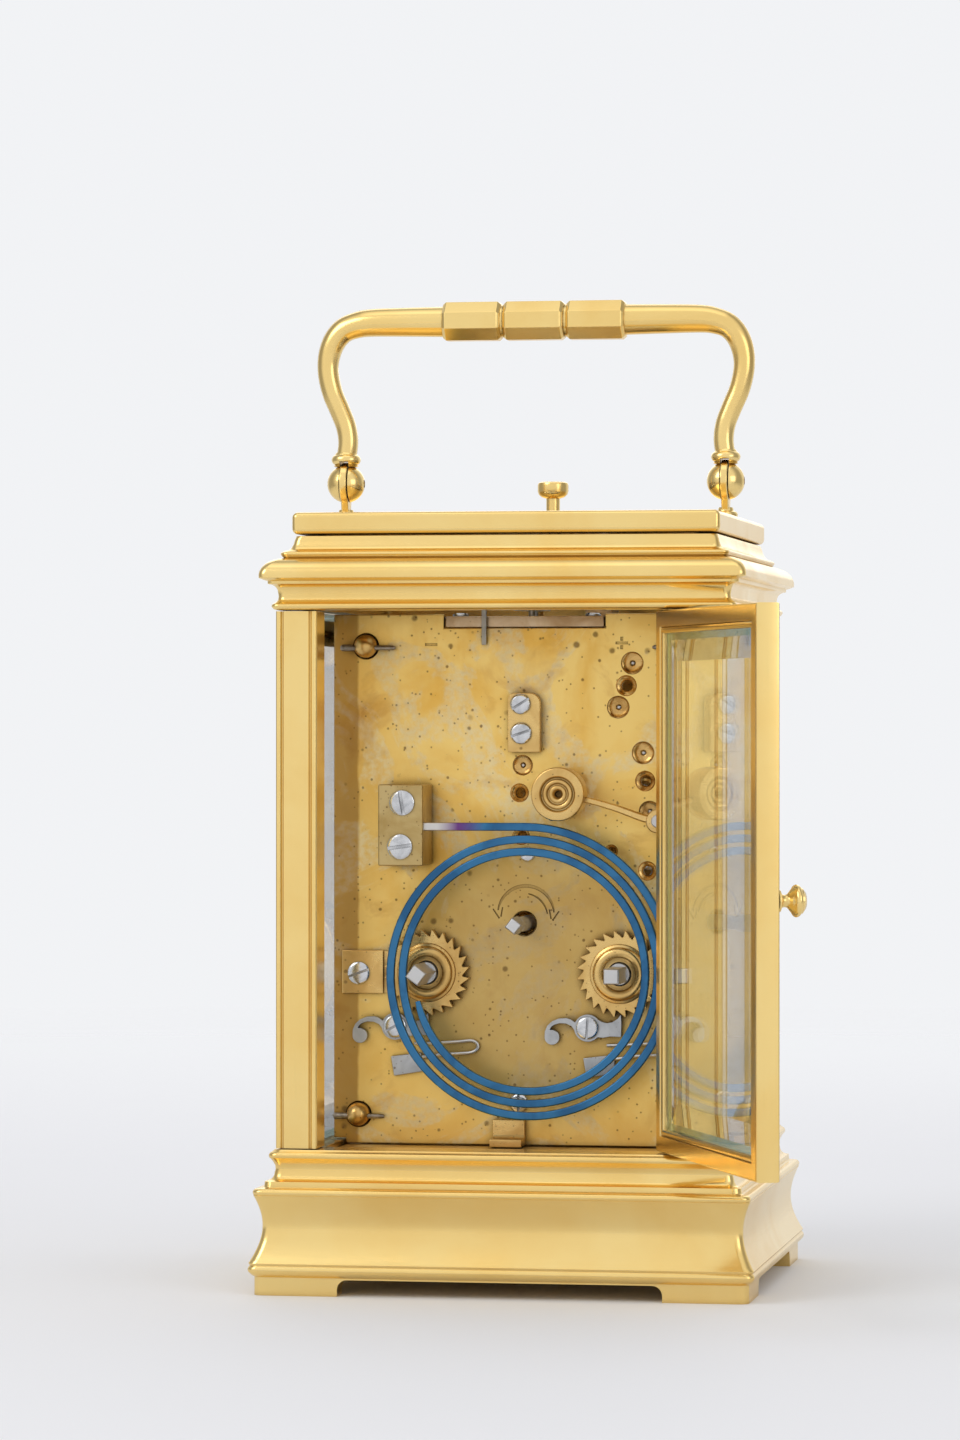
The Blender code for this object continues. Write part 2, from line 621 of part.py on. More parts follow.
def balance():
    staff = [(0.3, PLATFORM_TOP + GAP), (0.55, 120.6), (0.55, 127.9), (0.3, 128.1), (0.3, 129.0)]
    pivot = (0.0, STAFF_Y, 0.0)
    made = stored("balance_wheel", turned(staff, "Z", (0.0, STAFF_Y), 10), "movement_brass", pivot)
    rim = [(6.5, 124.2), (7.4, 124.2), (7.4, 125.4), (6.5, 125.4)]
    for turn in (0.0, 120.0, 240.0):
        angle = math.radians(turn)
        reach = Vector((math.sin(angle), math.cos(angle)))
        side = Vector((reach.y, -reach.x)) * 0.4
        ends = [side - reach * 0.2, side + reach * 6.8, reach * 6.8 - side, -side - reach * 0.2]
        spoke = [(p.x, STAFF_Y + p.y) for p in ends]
        joined(made, prism(spoke, "Z", 124.4, 125.1))
    joined(made, turned(rim, "Z", (0.0, STAFF_Y), 24, hollow=True))
    foot = block((-14.2, -9.2), (-11.2, -2.4), (PLATFORM_TOP + GAP, 130.8))
    cock = stored("balance_cock", foot, "movement_brass")
    arm = [(-10.0, -10.6), (-10.0, -3.0)]
    for i in range(7):
        turn = math.radians(30 * i)
        arm.append((2.6 * math.sin(turn), STAFF_Y + 2.6 * math.cos(turn)))
    joined(cock, prism(arm, "Z", 129.3, 130.8))


def regulator_index():
    """Pointer clamped round the balance staff's axis, bent down over the back plate."""
    reach, turn = 21.1, math.radians(20.5)
    direction = Vector((math.sin(turn), math.cos(turn)))
    side = Vector((direction.y, -direction.x))

    def outline(near, far, half):
        ends = [side * half + direction * near, side * half + direction * far]
        ends += [direction * far - side * half, direction * near - side * half]
        return [(p.x, STAFF_Y + p.y) for p in ends]

    disc = turned([(2.4, 131.1), (2.4, 131.8)], "Z", (0.0, STAFF_Y), 20)
    index = stored("regulator_index", disc, "steel", (0.0, STAFF_Y, 0.0))
    joined(index, prism(outline(1.0, reach + 0.25, 0.55), "Z", 131.2, 131.7))
    joined(index, prism(outline(reach - 0.25, reach + 0.25, 0.55), "Z", 114.4, 131.6))


def strike_train():
    _, pinion_tip = tips(BARREL_MESH, 6)
    pin_tip, warning_leaf = tips(14.2, 8)
    warning_tip, fly_leaf = tips(10.3, 9)
    pins = between_plates("strike_pin_wheel", PIN_WHEEL, 0.9)
    joined(pins, wheel(80, pin_tip, PIN_WHEEL, -19.6, -18.6), wheel(12, pinion_tip, PIN_WHEEL, -14.4, -11.2))
    warning = between_plates("strike_warning_wheel", WARNING, 0.8)
    joined(warning, wheel(63, warning_tip, WARNING, -14.0, -13.0, 0.8))
    joined(warning, wheel(10, warning_leaf, WARNING, -20.1, -18.1, 0.5))
    fly = between_plates("strike_fly", FLY, 0.65)
    joined(fly, wheel(7, fly_leaf, FLY, -14.5, -12.5, 0.3))
    joined(fly, block((FLY[0] - 6.5, FLY[0] + 6.5), (-5.0, 5.0), (FLY[1] - 0.3, FLY[1] + 0.3)))


def hammer():
    pivot = (HAMMER[0], 0.0, HAMMER[1])
    shape = [(1.1, 4.0), (1.1, 13.0), (2.4, 13.0), (2.4, 15.4), (1.3, 15.4), (1.3, 22.0)]
    made = stored("hammer", turned(shape, "Y", HAMMER, 14), "steel", pivot)
    rise = Vector((HAMMER_HEAD[0] - HAMMER[0], HAMMER_HEAD[1] - HAMMER[1])).normalized()
    side = Vector((-rise.y, rise.x)) * 0.75
    near, far = Vector(HAMMER), Vector(HAMMER_HEAD)
    ends = [tuple(p) for p in (near - side, far - side, far + side, near + side)]
    joined(made, prism(ends, "Y", 20.2, 21.8))
    head = [(4.4, 18.4), (4.9, 18.9), (4.9, 23.1), (4.4, 23.6), (3.0, 23.6), (2.6, 23.2), (1.4, 23.2)]
    joined(made, turned(head, "Y", HAMMER_HEAD, 24))
    striker = turned([(1.0, 81.6), (1.2, 82.0), (1.2, 84.5)], "Z", (HAMMER_HEAD[0] + 0.8, GONG_Y), 10)
    joined(made, striker)


def gong():
    path = [(16.8, GONG_CENTRE[1] + GONG_RADIUS), (8.0, GONG_CENTRE[1] + GONG_RADIUS)]
    steps_per_turn = 26
    steps = round(GONG_TURNS * steps_per_turn)
    for i in range(steps + 1):
        turn = i / steps_per_turn
        radius = GONG_RADIUS - GONG_PITCH * turn
        x = GONG_CENTRE[0] - radius * math.sin(2 * math.pi * turn)
        path.append((x, GONG_CENTRE[1] + radius * math.cos(2 * math.pi * turn)))
    stored("gong", swept(path, [GONG_WIRE] * len(path), 6, GONG_Y), "blued_steel")
    support = block((17.2, 25.5), (BACK_OUT + GAP, 22.6), (73.8, 88.7))
    stored("gong_block", support, "movement_brass")


def clicks():
    shape = [(0.9, -8.15), (1.0, -10.6), (-0.6, -11.9), (-4.0, -12.2), (-6.0, -12.3), (-8.5, -12.0)]
    shape += [(-12.3, -12.9), (-12.7, -11.9), (-8.8, -10.3), (-7.6, -8.6), (-6.0, -7.9), (-4.2, -8.9)]
    shape += [(-2.4, -10.0), (-0.5, -9.6)]
    wire = [(-1.5, -16.5), (2.5, -16.5), (5.2, -16.3), (6.6, -15.7), (6.6, -14.9), (5.2, -14.3)]
    wire += [(-1.2, -14.2)]
    for name, side in (("going", BARREL_X), ("strike", -BARREL_X)):
        outline = [(side - x, BARREL_Z + z) for x, z in shape]
        pivot = (side - CLICK_PIVOT[0], 0.0, BARREL_Z + CLICK_PIVOT[1])
        low = BACK_OUT + 0.4
        stored(f"{name}_click", prism(outline, "Y", low, low + 1.7), "steel", pivot)
        span = (side, side + 6.4), (BACK_OUT + GAP, BACK_OUT + 1.6)
        foot = block(*span, (BARREL_Z - 18.4, BARREL_Z - 14.9))
        spring = stored(f"{name}_click_spring", foot, "steel")
        bent = [(side - x, BARREL_Z + z) for x, z in wire]
        joined(spring, swept(bent, [0.35] * len(bent), 6, BACK_OUT + 1.0))


def bridge_and_bracket():
    outline = [(-3.3, 94.6), (2.7, 94.6)]
    for i in range(7):
        turn = math.radians(30 * i)
        outline.append((-0.3 + 3.0 * math.cos(turn), 102.5 + 3.0 * math.sin(turn)))
    bridge = prism(outline, "Y", BACK_OUT + GAP, BACK_OUT + 2.4)
    stored("centre_bridge", bridge, "movement_brass")
    low = BACK_OUT + GAP
    section = [(low, PLATE_LOW), (low + 5.4, PLATE_LOW), (low + 5.4, PLATE_LOW + 1.4)]
    section += [(low + 1.6, PLATE_LOW + 1.4), (low + 1.6, PLATE_LOW + 4.8), (low, PLATE_LOW + 4.8)]
    stored("movement_bracket", prism(section, "X", -0.3, 5.6), "movement_brass")


# Dial side -------------------------------------------------------------------------------------


def hand(name, length, half, low, bore):
    """A tapered hand with a round boss, pointing up and then turned to its time."""
    wide, waist = half * 1.6, length * 0.62
    outline = [(-half, 0.0), (-wide, waist), (0.0, length), (wide, waist), (half, 0.0)]
    turn = math.radians(HAND_TURNS[name])
    turned_out = []
    for x, z in outline:
        across = x * math.cos(turn) + z * math.sin(turn)
        turned_out.append((across, CENTRE[1] - x * math.sin(turn) + z * math.cos(turn)))
    boss = turned([(bore + 1.6, low), (bore + 1.6, low + 0.5)], "Y", CENTRE, 20)
    made = stored(name, boss, "blued_steel", (CENTRE[0], 0.0, CENTRE[1]))
    joined(made, prism(turned_out, "Y", low + 0.05, low + 0.45))
    cut(made, turned([(bore, low - 1.0), (bore, low + 2.0)], "Y", CENTRE, 16))


def dial_work():
    half = DOORWAY_HALF - 0.7
    sheet = block((-half, half), (-31.6, -30.6), (PLINTH_TOP + 0.3, PLATE_TOP - 0.2))
    dial = stored("dial_plate", sheet, "enamel")
    for x in (-28.0, 28.0):
        for z in (30.0, 112.0):
            joined(dial, turned([(1.2, -31.0), (1.2, FRONT_OUT - GAP)], "Y", (x, z), 10))
    cut(dial, turned([(2.6, -34.0), (2.6, -29.0)], "Y", CENTRE, 20))
    hour_tip, minute_leaf = tips(MINUTE_MESH, 4)
    minute_tip, _ = tips(MINUTE_MESH, 3)
    shape = [(1.8, -32.7), (1.8, -29.0)]
    pivot = (CENTRE[0], 0.0, CENTRE[1])
    pipe = stored("hour_wheel", turned(shape, "Y", CENTRE, 12), "movement_brass", pivot)
    joined(pipe, wheel(40, hour_tip, CENTRE, -30.2, -29.2, 0.8))
    cut(pipe, turned([(1.2, -34.0), (1.2, -28.0)], "Y", CENTRE, 12))
    minute = [(0.9, -30.3), (0.9, FRONT_OUT - GAP)]
    pivot = (MINUTE_WHEEL[0], 0.0, MINUTE_WHEEL[1])
    idler = stored("minute_wheel", turned(minute, "Y", MINUTE_WHEEL, 10), "movement_brass", pivot)
    joined(idler, wheel(36, minute_tip, MINUTE_WHEEL, -28.4, -27.2, 0.8))
    joined(idler, wheel(10, minute_leaf, MINUTE_WHEEL, -30.2, -29.2, 0.6))
    hand("hour_hand", 15.0, 0.5, -32.5, 1.95)
    hand("minute_hand", 23.0, 0.4, -33.5, 1.1)


def build():
    for obj in list(bpy.data.objects):
        bpy.data.objects.remove(obj, do_unlink=True)
    base_plinth()
    base_cover()
    base_floor()
    columns()
    cornice()
    lid_frame()
    panes()
    handle()
    handle_lugs()
    rear_door()
    repeat_button()
    movement_plates()
    pillars()
    barrels()
    winding_arbors()
    centre_arbor()
    going_train()
    platform()
    balance()
    regulator_index()
    strike_train()
    hammer()
    gong()
    clicks()
    bridge_and_bracket()
    dial_work()


build()
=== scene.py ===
"""Looks of a gorge-cased carriage clock: case, glass, door, movement, gong and dial.

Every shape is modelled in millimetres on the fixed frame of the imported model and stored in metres.
The dial faces -Y, the open rear door is on the +Y side, and +Z is up.
"""

from __future__ import annotations

import itertools
import json
import logging
import math
from contextlib import contextmanager
from dataclasses import dataclass, field
from enum import Enum
from typing import Iterator, Sequence

import bpy
from mathutils import Matrix, Vector

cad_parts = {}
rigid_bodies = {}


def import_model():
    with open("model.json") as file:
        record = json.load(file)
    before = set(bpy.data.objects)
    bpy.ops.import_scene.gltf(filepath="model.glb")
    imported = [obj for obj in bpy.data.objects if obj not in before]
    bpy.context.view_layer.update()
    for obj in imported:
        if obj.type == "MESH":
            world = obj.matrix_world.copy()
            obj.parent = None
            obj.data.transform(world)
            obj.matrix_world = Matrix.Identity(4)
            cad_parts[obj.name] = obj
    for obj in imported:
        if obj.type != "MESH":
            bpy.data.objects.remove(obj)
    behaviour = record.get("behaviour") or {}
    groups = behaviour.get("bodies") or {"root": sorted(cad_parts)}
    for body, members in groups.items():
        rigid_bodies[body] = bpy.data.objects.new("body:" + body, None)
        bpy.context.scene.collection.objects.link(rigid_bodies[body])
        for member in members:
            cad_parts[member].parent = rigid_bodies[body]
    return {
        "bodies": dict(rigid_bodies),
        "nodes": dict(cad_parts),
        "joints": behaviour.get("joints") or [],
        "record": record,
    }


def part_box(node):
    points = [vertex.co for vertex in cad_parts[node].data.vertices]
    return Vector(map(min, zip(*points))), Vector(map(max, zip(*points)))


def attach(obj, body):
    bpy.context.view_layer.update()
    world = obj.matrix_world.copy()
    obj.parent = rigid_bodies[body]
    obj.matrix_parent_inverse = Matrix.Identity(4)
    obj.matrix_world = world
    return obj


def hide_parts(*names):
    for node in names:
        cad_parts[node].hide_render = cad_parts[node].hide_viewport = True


MM = 0.001
MERGE = 0.002 * MM
SMOOTH_ANGLE = math.radians(32)

Point = tuple[float, float]
Colour = tuple[float, float, float]
Span = tuple[float, float]

log = logging.getLogger("carriage_clock")


# Modelling -------------------------------------------------------------------------------------


class Axis(Enum):
    """The direction that a turned or extruded piece runs along."""

    X = (1.0, 0.0, 0.0)
    Y = (0.0, 1.0, 0.0)
    Z = (0.0, 0.0, 1.0)

    def place(self, a: float, b: float, c: float) -> Vector:
        """The point at (a, b) across this axis and c along it, in millimetres."""
        if self is Axis.X:
            return Vector((c, a, b))
        if self is Axis.Y:
            return Vector((a, c, b))
        return Vector((a, b, c))

    @property
    def tilt(self) -> tuple[float, float, float]:
        """Rotation that lays a primitive's own plane across this axis."""
        quarter = math.pi / 2
        return {"X": (quarter, 0.0, quarter), "Y": (quarter, 0.0, 0.0), "Z": (0.0, 0.0, 0.0)}[self.name]


def arc(centre: Point, radius: float, first: float, last: float, steps: int) -> list[Point]:
    """Points along an arc.

    Args:
        centre: The arc's centre.
        radius: Its radius.
        first: Angle of its first point, in degrees from the first axis.
        last: Angle of its last point.
        steps: How many straight steps stand for it.

    Returns:
        The steps + 1 points.
    """
    turns = [math.radians(first + (last - first) * i / steps) for i in range(steps + 1)]
    return [(centre[0] + radius * math.cos(t), centre[1] + radius * math.sin(t)) for t in turns]


def eased(points: Sequence[Sequence[float]], per_span: int) -> list[tuple[float, ...]]:
    """A smooth line through the given points.

    Args:
        points: Points of any dimension, each of which the line passes through.
        per_span: How many steps the line takes between two of them.

    Returns:
        The points of the smooth line.
    """
    ends = [points[0], *points, points[-1]]
    line: list[tuple[float, ...]] = []
    for before, start, stop, after in zip(ends, ends[1:], ends[2:], ends[3:]):
        for i in range(per_span):
            t = i / per_span
            spot = []
            for a, b, c, d in zip(before, start, stop, after):
                spot.append(0.5 * (2 * b + (c - a) * t + (2 * a - 5 * b + 4 * c - d) * t**2
                                   + (3 * b - a - 3 * c + d) * t**3))
            line.append(tuple(spot))
    return [*line, tuple(points[-1])]


def ribbon(route: Sequence[Point], halves: Sequence[float]) -> list[Point]:
    """Outline of a flat strip that follows a line.

    Args:
        route: The strip's middle line.
        halves: Its half width at each point of that line.

    Returns:
        The closed outline, up one side and down the other.
    """
    left, right = [], []
    last = len(route) - 1
    for i, (x, y) in enumerate(route):
        before, after = route[max(i - 1, 0)], route[min(i + 1, last)]
        run = Vector((after[0] - before[0], after[1] - before[1])).normalized()
        left.append((x - run.y * halves[i], y + run.x * halves[i]))
        right.append((x + run.y * halves[i], y - run.x * halves[i]))
    return left + right[::-1]


class Bench:
    """The modelling operations that every piece is made with."""

    @staticmethod
    def take(*pieces: bpy.types.Object) -> None:
        """Selects only these pieces and makes the first one active."""
        bpy.ops.object.select_all(action="DESELECT")
        for piece in pieces:
            piece.select_set(True)
        bpy.context.view_layer.objects.active = pieces[0]

    @staticmethod
    @contextmanager
    def editing(piece: bpy.types.Object) -> Iterator[None]:
        """Edit mode on one piece, with all of it selected."""
        Bench.take(piece)
        bpy.ops.object.mode_set(mode="EDIT")
        bpy.ops.mesh.select_mode(type="VERT")
        bpy.ops.mesh.select_all(action="SELECT")
        yield
        bpy.ops.object.mode_set(mode="OBJECT")

    @staticmethod
    def tidied() -> None:
        """Merges doubles and turns the faces outwards, in edit mode."""
        bpy.ops.mesh.select_all(action="SELECT")
        bpy.ops.mesh.remove_doubles(threshold=MERGE)
        bpy.ops.mesh.normals_make_consistent(inside=False)

    @staticmethod
    def settled(piece: bpy.types.Object) -> bpy.types.Object:
        """The piece with its place, turn and scale moved into its mesh."""
        Bench.take(piece)
        bpy.ops.object.transform_apply(location=True, rotation=True, scale=True)
        return piece

    @staticmethod
    def line(name: str, spots: Sequence[Vector]) -> bpy.types.Object:
        """A wire drawn through points in millimetres, one extrusion at a time."""
        bpy.ops.object.select_all(action="DESELECT")
        bpy.ops.mesh.primitive_plane_add(size=MM, location=spots[0] * MM)
        piece = bpy.context.object
        piece.name = name
        Bench.settled(piece)
        with Bench.editing(piece):
            bpy.ops.mesh.merge(type="CENTER")
            for here, there in itertools.pairwise(spots):
                bpy.ops.mesh.extrude_region_move(TRANSFORM_OT_translate={"value": (there - here) * MM})
        return piece

    @staticmethod
    def turned(name: str, profile: Sequence[Point], axis: Axis, centre: Point, steps: int = 48,
               ring: bool = False) -> bpy.types.Object:
        """A round piece spun from its profile.

        Args:
            name: The piece's name.
            profile: (radius, place along the axis) pairs, or a closed section for a ring.
            axis: The axis it turns about.
            centre: Where that axis crosses the other two directions.
            steps: How many facets go round it.
            ring: Whether the profile is a closed section that stays off the axis.

        Returns:
            The closed piece.
        """
        ends = [profile[0]] if ring else [(0.0, profile[-1][1])]
        start = [] if ring else [(0.0, profile[0][1])]
        section = [*start, *profile, *ends]
        spots = [axis.place(centre[0] + r, centre[1], h) for r, h in section]
        piece = Bench.line(name, spots)
        middle = axis.place(centre[0], centre[1], 0.0) * MM
        with Bench.editing(piece):
            bpy.ops.mesh.spin(steps=steps, angle=2 * math.pi, center=middle, axis=axis.value)
            Bench.tidied()
            bpy.ops.mesh.dissolve_degenerate(threshold=MERGE)
        return piece

    @staticmethod
    def slab(name: str, outline: Sequence[Point], axis: Axis, span: Span, edge: float = 0.0,
             segments: int = 2) -> bpy.types.Object:
        """A flat piece of any outline.

        Args:
            name: The piece's name.
            outline: Its corners across the axis.
            axis: The direction of its thickness.
            span: Where it starts and stops along that direction.
            edge: Width of the rounding along its sharp edges.
            segments: Steps in that rounding.

        Returns:
            The closed piece.
        """
        spots = [axis.place(a, b, span[0]) for a, b in [*outline, outline[0]]]
        piece = Bench.line(name, spots)
        rise = axis.place(0.0, 0.0, span[1] - span[0]) * MM
        with Bench.editing(piece):
            bpy.ops.mesh.remove_doubles(threshold=MERGE)
            bpy.ops.mesh.edge_face_add()
            bpy.ops.mesh.extrude_region_move(TRANSFORM_OT_translate={"value": rise})
            Bench.tidied()
        return Bench.rounded(piece, edge, segments)

    @staticmethod
    def block(name: str, x: Span, y: Span, z: Span, edge: float = 0.0, segments: int = 2) -> bpy.types.Object:
        """A rectangular piece between three pairs of faces, with rounded edges."""
        low, high = Vector((x[0], y[0], z[0])), Vector((x[1], y[1], z[1]))
        bpy.ops.object.select_all(action="DESELECT")
        bpy.ops.mesh.primitive_cube_add(size=1.0, location=(low + high) / 2 * MM)
        piece = bpy.context.object
        piece.name = name
        piece.scale = (high - low) * MM
        Bench.settled(piece)
        return Bench.rounded(piece, edge, segments)

    @staticmethod
    def framed(name: str, levels: Sequence[tuple[float, float, float]], axis: Axis,
               centre: Point = (0.0, 0.0), solid: bool = False, corner: float = 0.0) -> bpy.types.Object:
        """A rectangular moulding with mitred or rounded corners, raised loop by loop.

        Args:
            name: The piece's name.
            levels: (half across, half up, place along the axis) of each loop.
            axis: The direction that the loops are stacked in.
            centre: The rectangle's middle.
            solid: Whether both ends are filled; otherwise the last loop joins the first.
            corner: Radius of its corners.

        Returns:
            The closed piece.
        """
        levels = list(levels) if solid else [*levels, levels[0]]
        wide, tall, place = levels[0]
        bpy.ops.object.select_all(action="DESELECT")
        bpy.ops.mesh.primitive_plane_add(size=2 * MM, rotation=axis.tilt)
        piece = bpy.context.object
        piece.name = name
        Bench.settled(piece)
        with Bench.editing(piece):
            bpy.ops.transform.resize(value=Bench.stretch(axis, wide, tall), center_override=(0.0, 0.0, 0.0))
            bpy.ops.transform.translate(value=axis.place(*centre, place) * MM)
            if corner > 0.0:
                bpy.ops.mesh.bevel(offset=corner * MM, segments=6, affect="VERTICES")
                bpy.ops.mesh.select_all(action="SELECT")
            if not solid:
                bpy.ops.mesh.delete(type="ONLY_FACE")
                bpy.ops.mesh.select_all(action="SELECT")
            for (a, b, c), (wide, tall, place) in itertools.pairwise(levels):
                rise = axis.place(0.0, 0.0, place - c) * MM
                bpy.ops.mesh.extrude_region_move(TRANSFORM_OT_translate={"value": rise})
                middle = axis.place(*centre, place) * MM
                bpy.ops.transform.resize(value=Bench.stretch(axis, wide / a, tall / b),
                                         center_override=middle)
            Bench.tidied()
        return piece

    @staticmethod
    def stretch(axis: Axis, across: float, up: float) -> Vector:
        """Scale factors that stretch a loop lying across the axis."""
        return axis.place(across, up, 1.0)

    @staticmethod
    def swept(name: str, route: Sequence[Vector], radii: Sequence[float], sides: int = 16,
              section: Sequence[Point] | None = None) -> bpy.types.Object:
        """A bar that follows a route.

        Args:
            name: The piece's name.
            route: Points of its middle line, in millimetres.
            radii: Its radius at each of them, or its scale where it has a section.
            sides: How many facets a round bar has.
            section: Corners of a bar that isn't round.

        Returns:
            The closed piece.
        """
        bpy.ops.object.select_all(action="DESELECT")
        bpy.ops.curve.primitive_nurbs_path_add()
        path = bpy.context.object
        path.name = name
        drawn = path.data
        drawn.splines.clear()
        spline = drawn.splines.new("POLY")
        spline.points.add(len(route) - 1)
        for spot, place, radius in zip(spline.points, route, radii):
            spot.co = (*(place * MM), 1.0)
            spot.radius = radius
        drawn.dimensions = "3D"
        drawn.twist_mode = "MINIMUM"
        drawn.use_fill_caps = True
        guide = None
        if section is None:
            drawn.bevel_depth = MM
            drawn.bevel_resolution = max(sides // 4 - 1, 1)
        else:
            guide = Bench.outline_guide(section)
            drawn.bevel_mode = "OBJECT"
            drawn.bevel_object = guide
        path.location = (0.0, 0.0, 0.0)
        Bench.take(path)
        bpy.ops.object.convert(target="MESH")
        if guide is not None:
            bpy.data.objects.remove(guide, do_unlink=True)
        with Bench.editing(path):
            Bench.tidied()
        return path

    @staticmethod
    def outline_guide(section: Sequence[Point]) -> bpy.types.Object:
        """A flat closed curve that a swept bar takes its section from."""
        bpy.ops.object.select_all(action="DESELECT")
        bpy.ops.curve.primitive_nurbs_path_add()
        guide = bpy.context.object
        guide.data.splines.clear()
        spline = guide.data.splines.new("POLY")
        spline.points.add(len(section) - 1)
        for spot, (a, b) in zip(spline.points, section):
            spot.co = (a * MM, b * MM, 0.0, 1.0)
        spline.use_cyclic_u = True
        guide.location = (0.0, 0.0, 0.0)
        return guide

    @staticmethod
    def rounded(piece: bpy.types.Object, width: float, segments: int = 2,
                angle: float = 32.0) -> bpy.types.Object:
        """The piece with its sharp edges rounded over by a width in millimetres."""
        if width <= 0.0:
            return piece
        Bench.take(piece)
        bevel = piece.modifiers.new("rounded", "BEVEL")
        bevel.width = width * MM
        bevel.segments = segments
        bevel.limit_method = "ANGLE"
        bevel.angle_limit = math.radians(angle)
        bevel.use_clamp_overlap = True
        bpy.ops.object.modifier_apply(modifier=bevel.name)
        return piece

    @staticmethod
    def gridded(piece: bpy.types.Object, axis: Axis, places: Sequence[float]) -> bpy.types.Object:
        """The piece with its faces split across an axis at the given places."""
        with Bench.editing(piece):
            for place in places:
                bpy.ops.mesh.select_all(action="SELECT")
                bpy.ops.mesh.bisect(plane_co=Vector(axis.value) * place * MM, plane_no=axis.value)
        return piece

    @staticmethod
    def cut(piece: bpy.types.Object, *tools: bpy.types.Object) -> bpy.types.Object:
        """The piece with the tools' shapes taken away, and the tools removed."""
        for tool in tools:
            Bench.take(piece)
            hole = piece.modifiers.new("cut", "BOOLEAN")
            hole.operation = "DIFFERENCE"
            hole.solver = "EXACT"
            hole.object = tool
            bpy.ops.object.modifier_apply(modifier=hole.name)
            bpy.data.objects.remove(tool, do_unlink=True)
        return piece

    @staticmethod
    def fused(piece: bpy.types.Object, *others: bpy.types.Object) -> bpy.types.Object:
        """The piece and the others melted into one closed body."""
        for other in others:
            Bench.take(piece)
            melt = piece.modifiers.new("fuse", "BOOLEAN")
            melt.operation = "UNION"
            melt.solver = "EXACT"
            melt.object = other
            bpy.ops.object.modifier_apply(modifier=melt.name)
            bpy.data.objects.remove(other, do_unlink=True)
        return piece

    @staticmethod
    def grouped(name: str, pieces: Sequence[bpy.types.Object]) -> bpy.types.Object:
        """Separate bodies as one object."""
        Bench.take(*pieces)
        if len(pieces) > 1:
            bpy.ops.object.join()
        bpy.context.object.name = name
        return bpy.context.object

    @staticmethod
    def copied(piece: bpy.types.Object, name: str, shift: Vector, turn: float = 0.0,
               axis: Axis = Axis.Y, about: Vector | None = None) -> bpy.types.Object:
        """A copy with its own mesh, turned about an axis and then shifted.

        Args:
            piece: What is copied.
            name: The copy's name.
            shift: How far it moves, in millimetres.
            turn: Its turn in radians by the right-hand rule.
            axis: The axis of that turn.
            about: A point on that axis, in millimetres.

        Returns:
            The copy, with its place in its mesh.
        """
        Bench.take(piece)
        bpy.ops.object.duplicate(linked=False)
        twin = bpy.context.object
        twin.name = name
        middle = (about or Vector()) * MM
        spin = Matrix.Rotation(turn, 4, Vector(axis.value))
        twin.matrix_world = Matrix.Translation(shift * MM + middle) @ spin @ Matrix.Translation(-middle)
        return Bench.settled(twin)

    @staticmethod
    def smooth(piece: bpy.types.Object) -> None:
        """Smooth shading that stops at sharp edges and keeps large faces flat."""
        Bench.take(piece)
        bpy.ops.object.shade_smooth_by_angle(angle=SMOOTH_ANGLE)
        even = piece.modifiers.new("even", "WEIGHTED_NORMAL")
        even.keep_sharp = True
        even.weight = 100
        bpy.ops.object.modifier_apply(modifier=even.name)


# Finishes --------------------------------------------------------------------------------------


class Graph:
    """A shader tree that is being wired."""

    def __init__(self, tree: bpy.types.NodeTree) -> None:
        """Starts on an existing tree."""
        self.tree = tree

    def node(self, kind: str, **values: object) -> bpy.types.Node:
        """Adds a node.

        Args:
            kind: The node's type without the ShaderNode prefix.
            **values: Settings of the node by name, or default values of its inputs by socket name,
                with underscores for spaces.

        Returns:
            The node.
        """
        made = self.tree.nodes.new(f"ShaderNode{kind}")
        self.feed(made, **values)
        return made

    def feed(self, made: bpy.types.Node, **values: object) -> None:
        """Sets a node's inputs or settings by name, and links those whose value is a socket."""
        for key, value in values.items():
            socket = next((s for s in made.inputs if s.name.replace(" ", "_") == key), None)
            if socket is None:
                setattr(made, key, value)
            elif isinstance(value, bpy.types.NodeSocket):
                self.tree.links.new(value, socket)
            else:
                socket.default_value = value

    def link(self, source: bpy.types.NodeSocket, target: bpy.types.NodeSocket) -> None:
        """Joins two sockets."""
        self.tree.links.new(source, target)

    def math(self, operation: str, *values: float | bpy.types.NodeSocket) -> bpy.types.NodeSocket:
        """A Math node's result, from numbers or sockets."""
        made = self.tree.nodes.new("ShaderNodeMath")
        made.operation = operation
        for socket, value in zip(made.inputs, values):
            if isinstance(value, bpy.types.NodeSocket):
                self.tree.links.new(value, socket)
            else:
                socket.default_value = value
        return made.outputs[0]

    def ramp(self, value: bpy.types.NodeSocket, low: float, high: float) -> bpy.types.NodeSocket:
        """The value mapped from between low and high to between 0 and 1, and held there."""
        made = self.node("MapRange", clamp=True)
        made.inputs["From Min"].default_value = low
        made.inputs["From Max"].default_value = high
        self.link(value, made.inputs["Value"])
        return made.outputs["Result"]

    def blend(self, mask: bpy.types.NodeSocket, below: Colour | bpy.types.NodeSocket,
              above: Colour | bpy.types.NodeSocket) -> bpy.types.NodeSocket:
        """One colour where the mask is 0 and the other where it is 1."""
        made = self.tree.nodes.new("ShaderNodeMix")
        made.data_type = "RGBA"
        self.link(mask, made.inputs[0])
        for socket, value in ((made.inputs[6], below), (made.inputs[7], above)):
            if isinstance(value, bpy.types.NodeSocket):
                self.link(value, socket)
            else:
                socket.default_value = (*value, 1.0)
        return made.outputs[2]


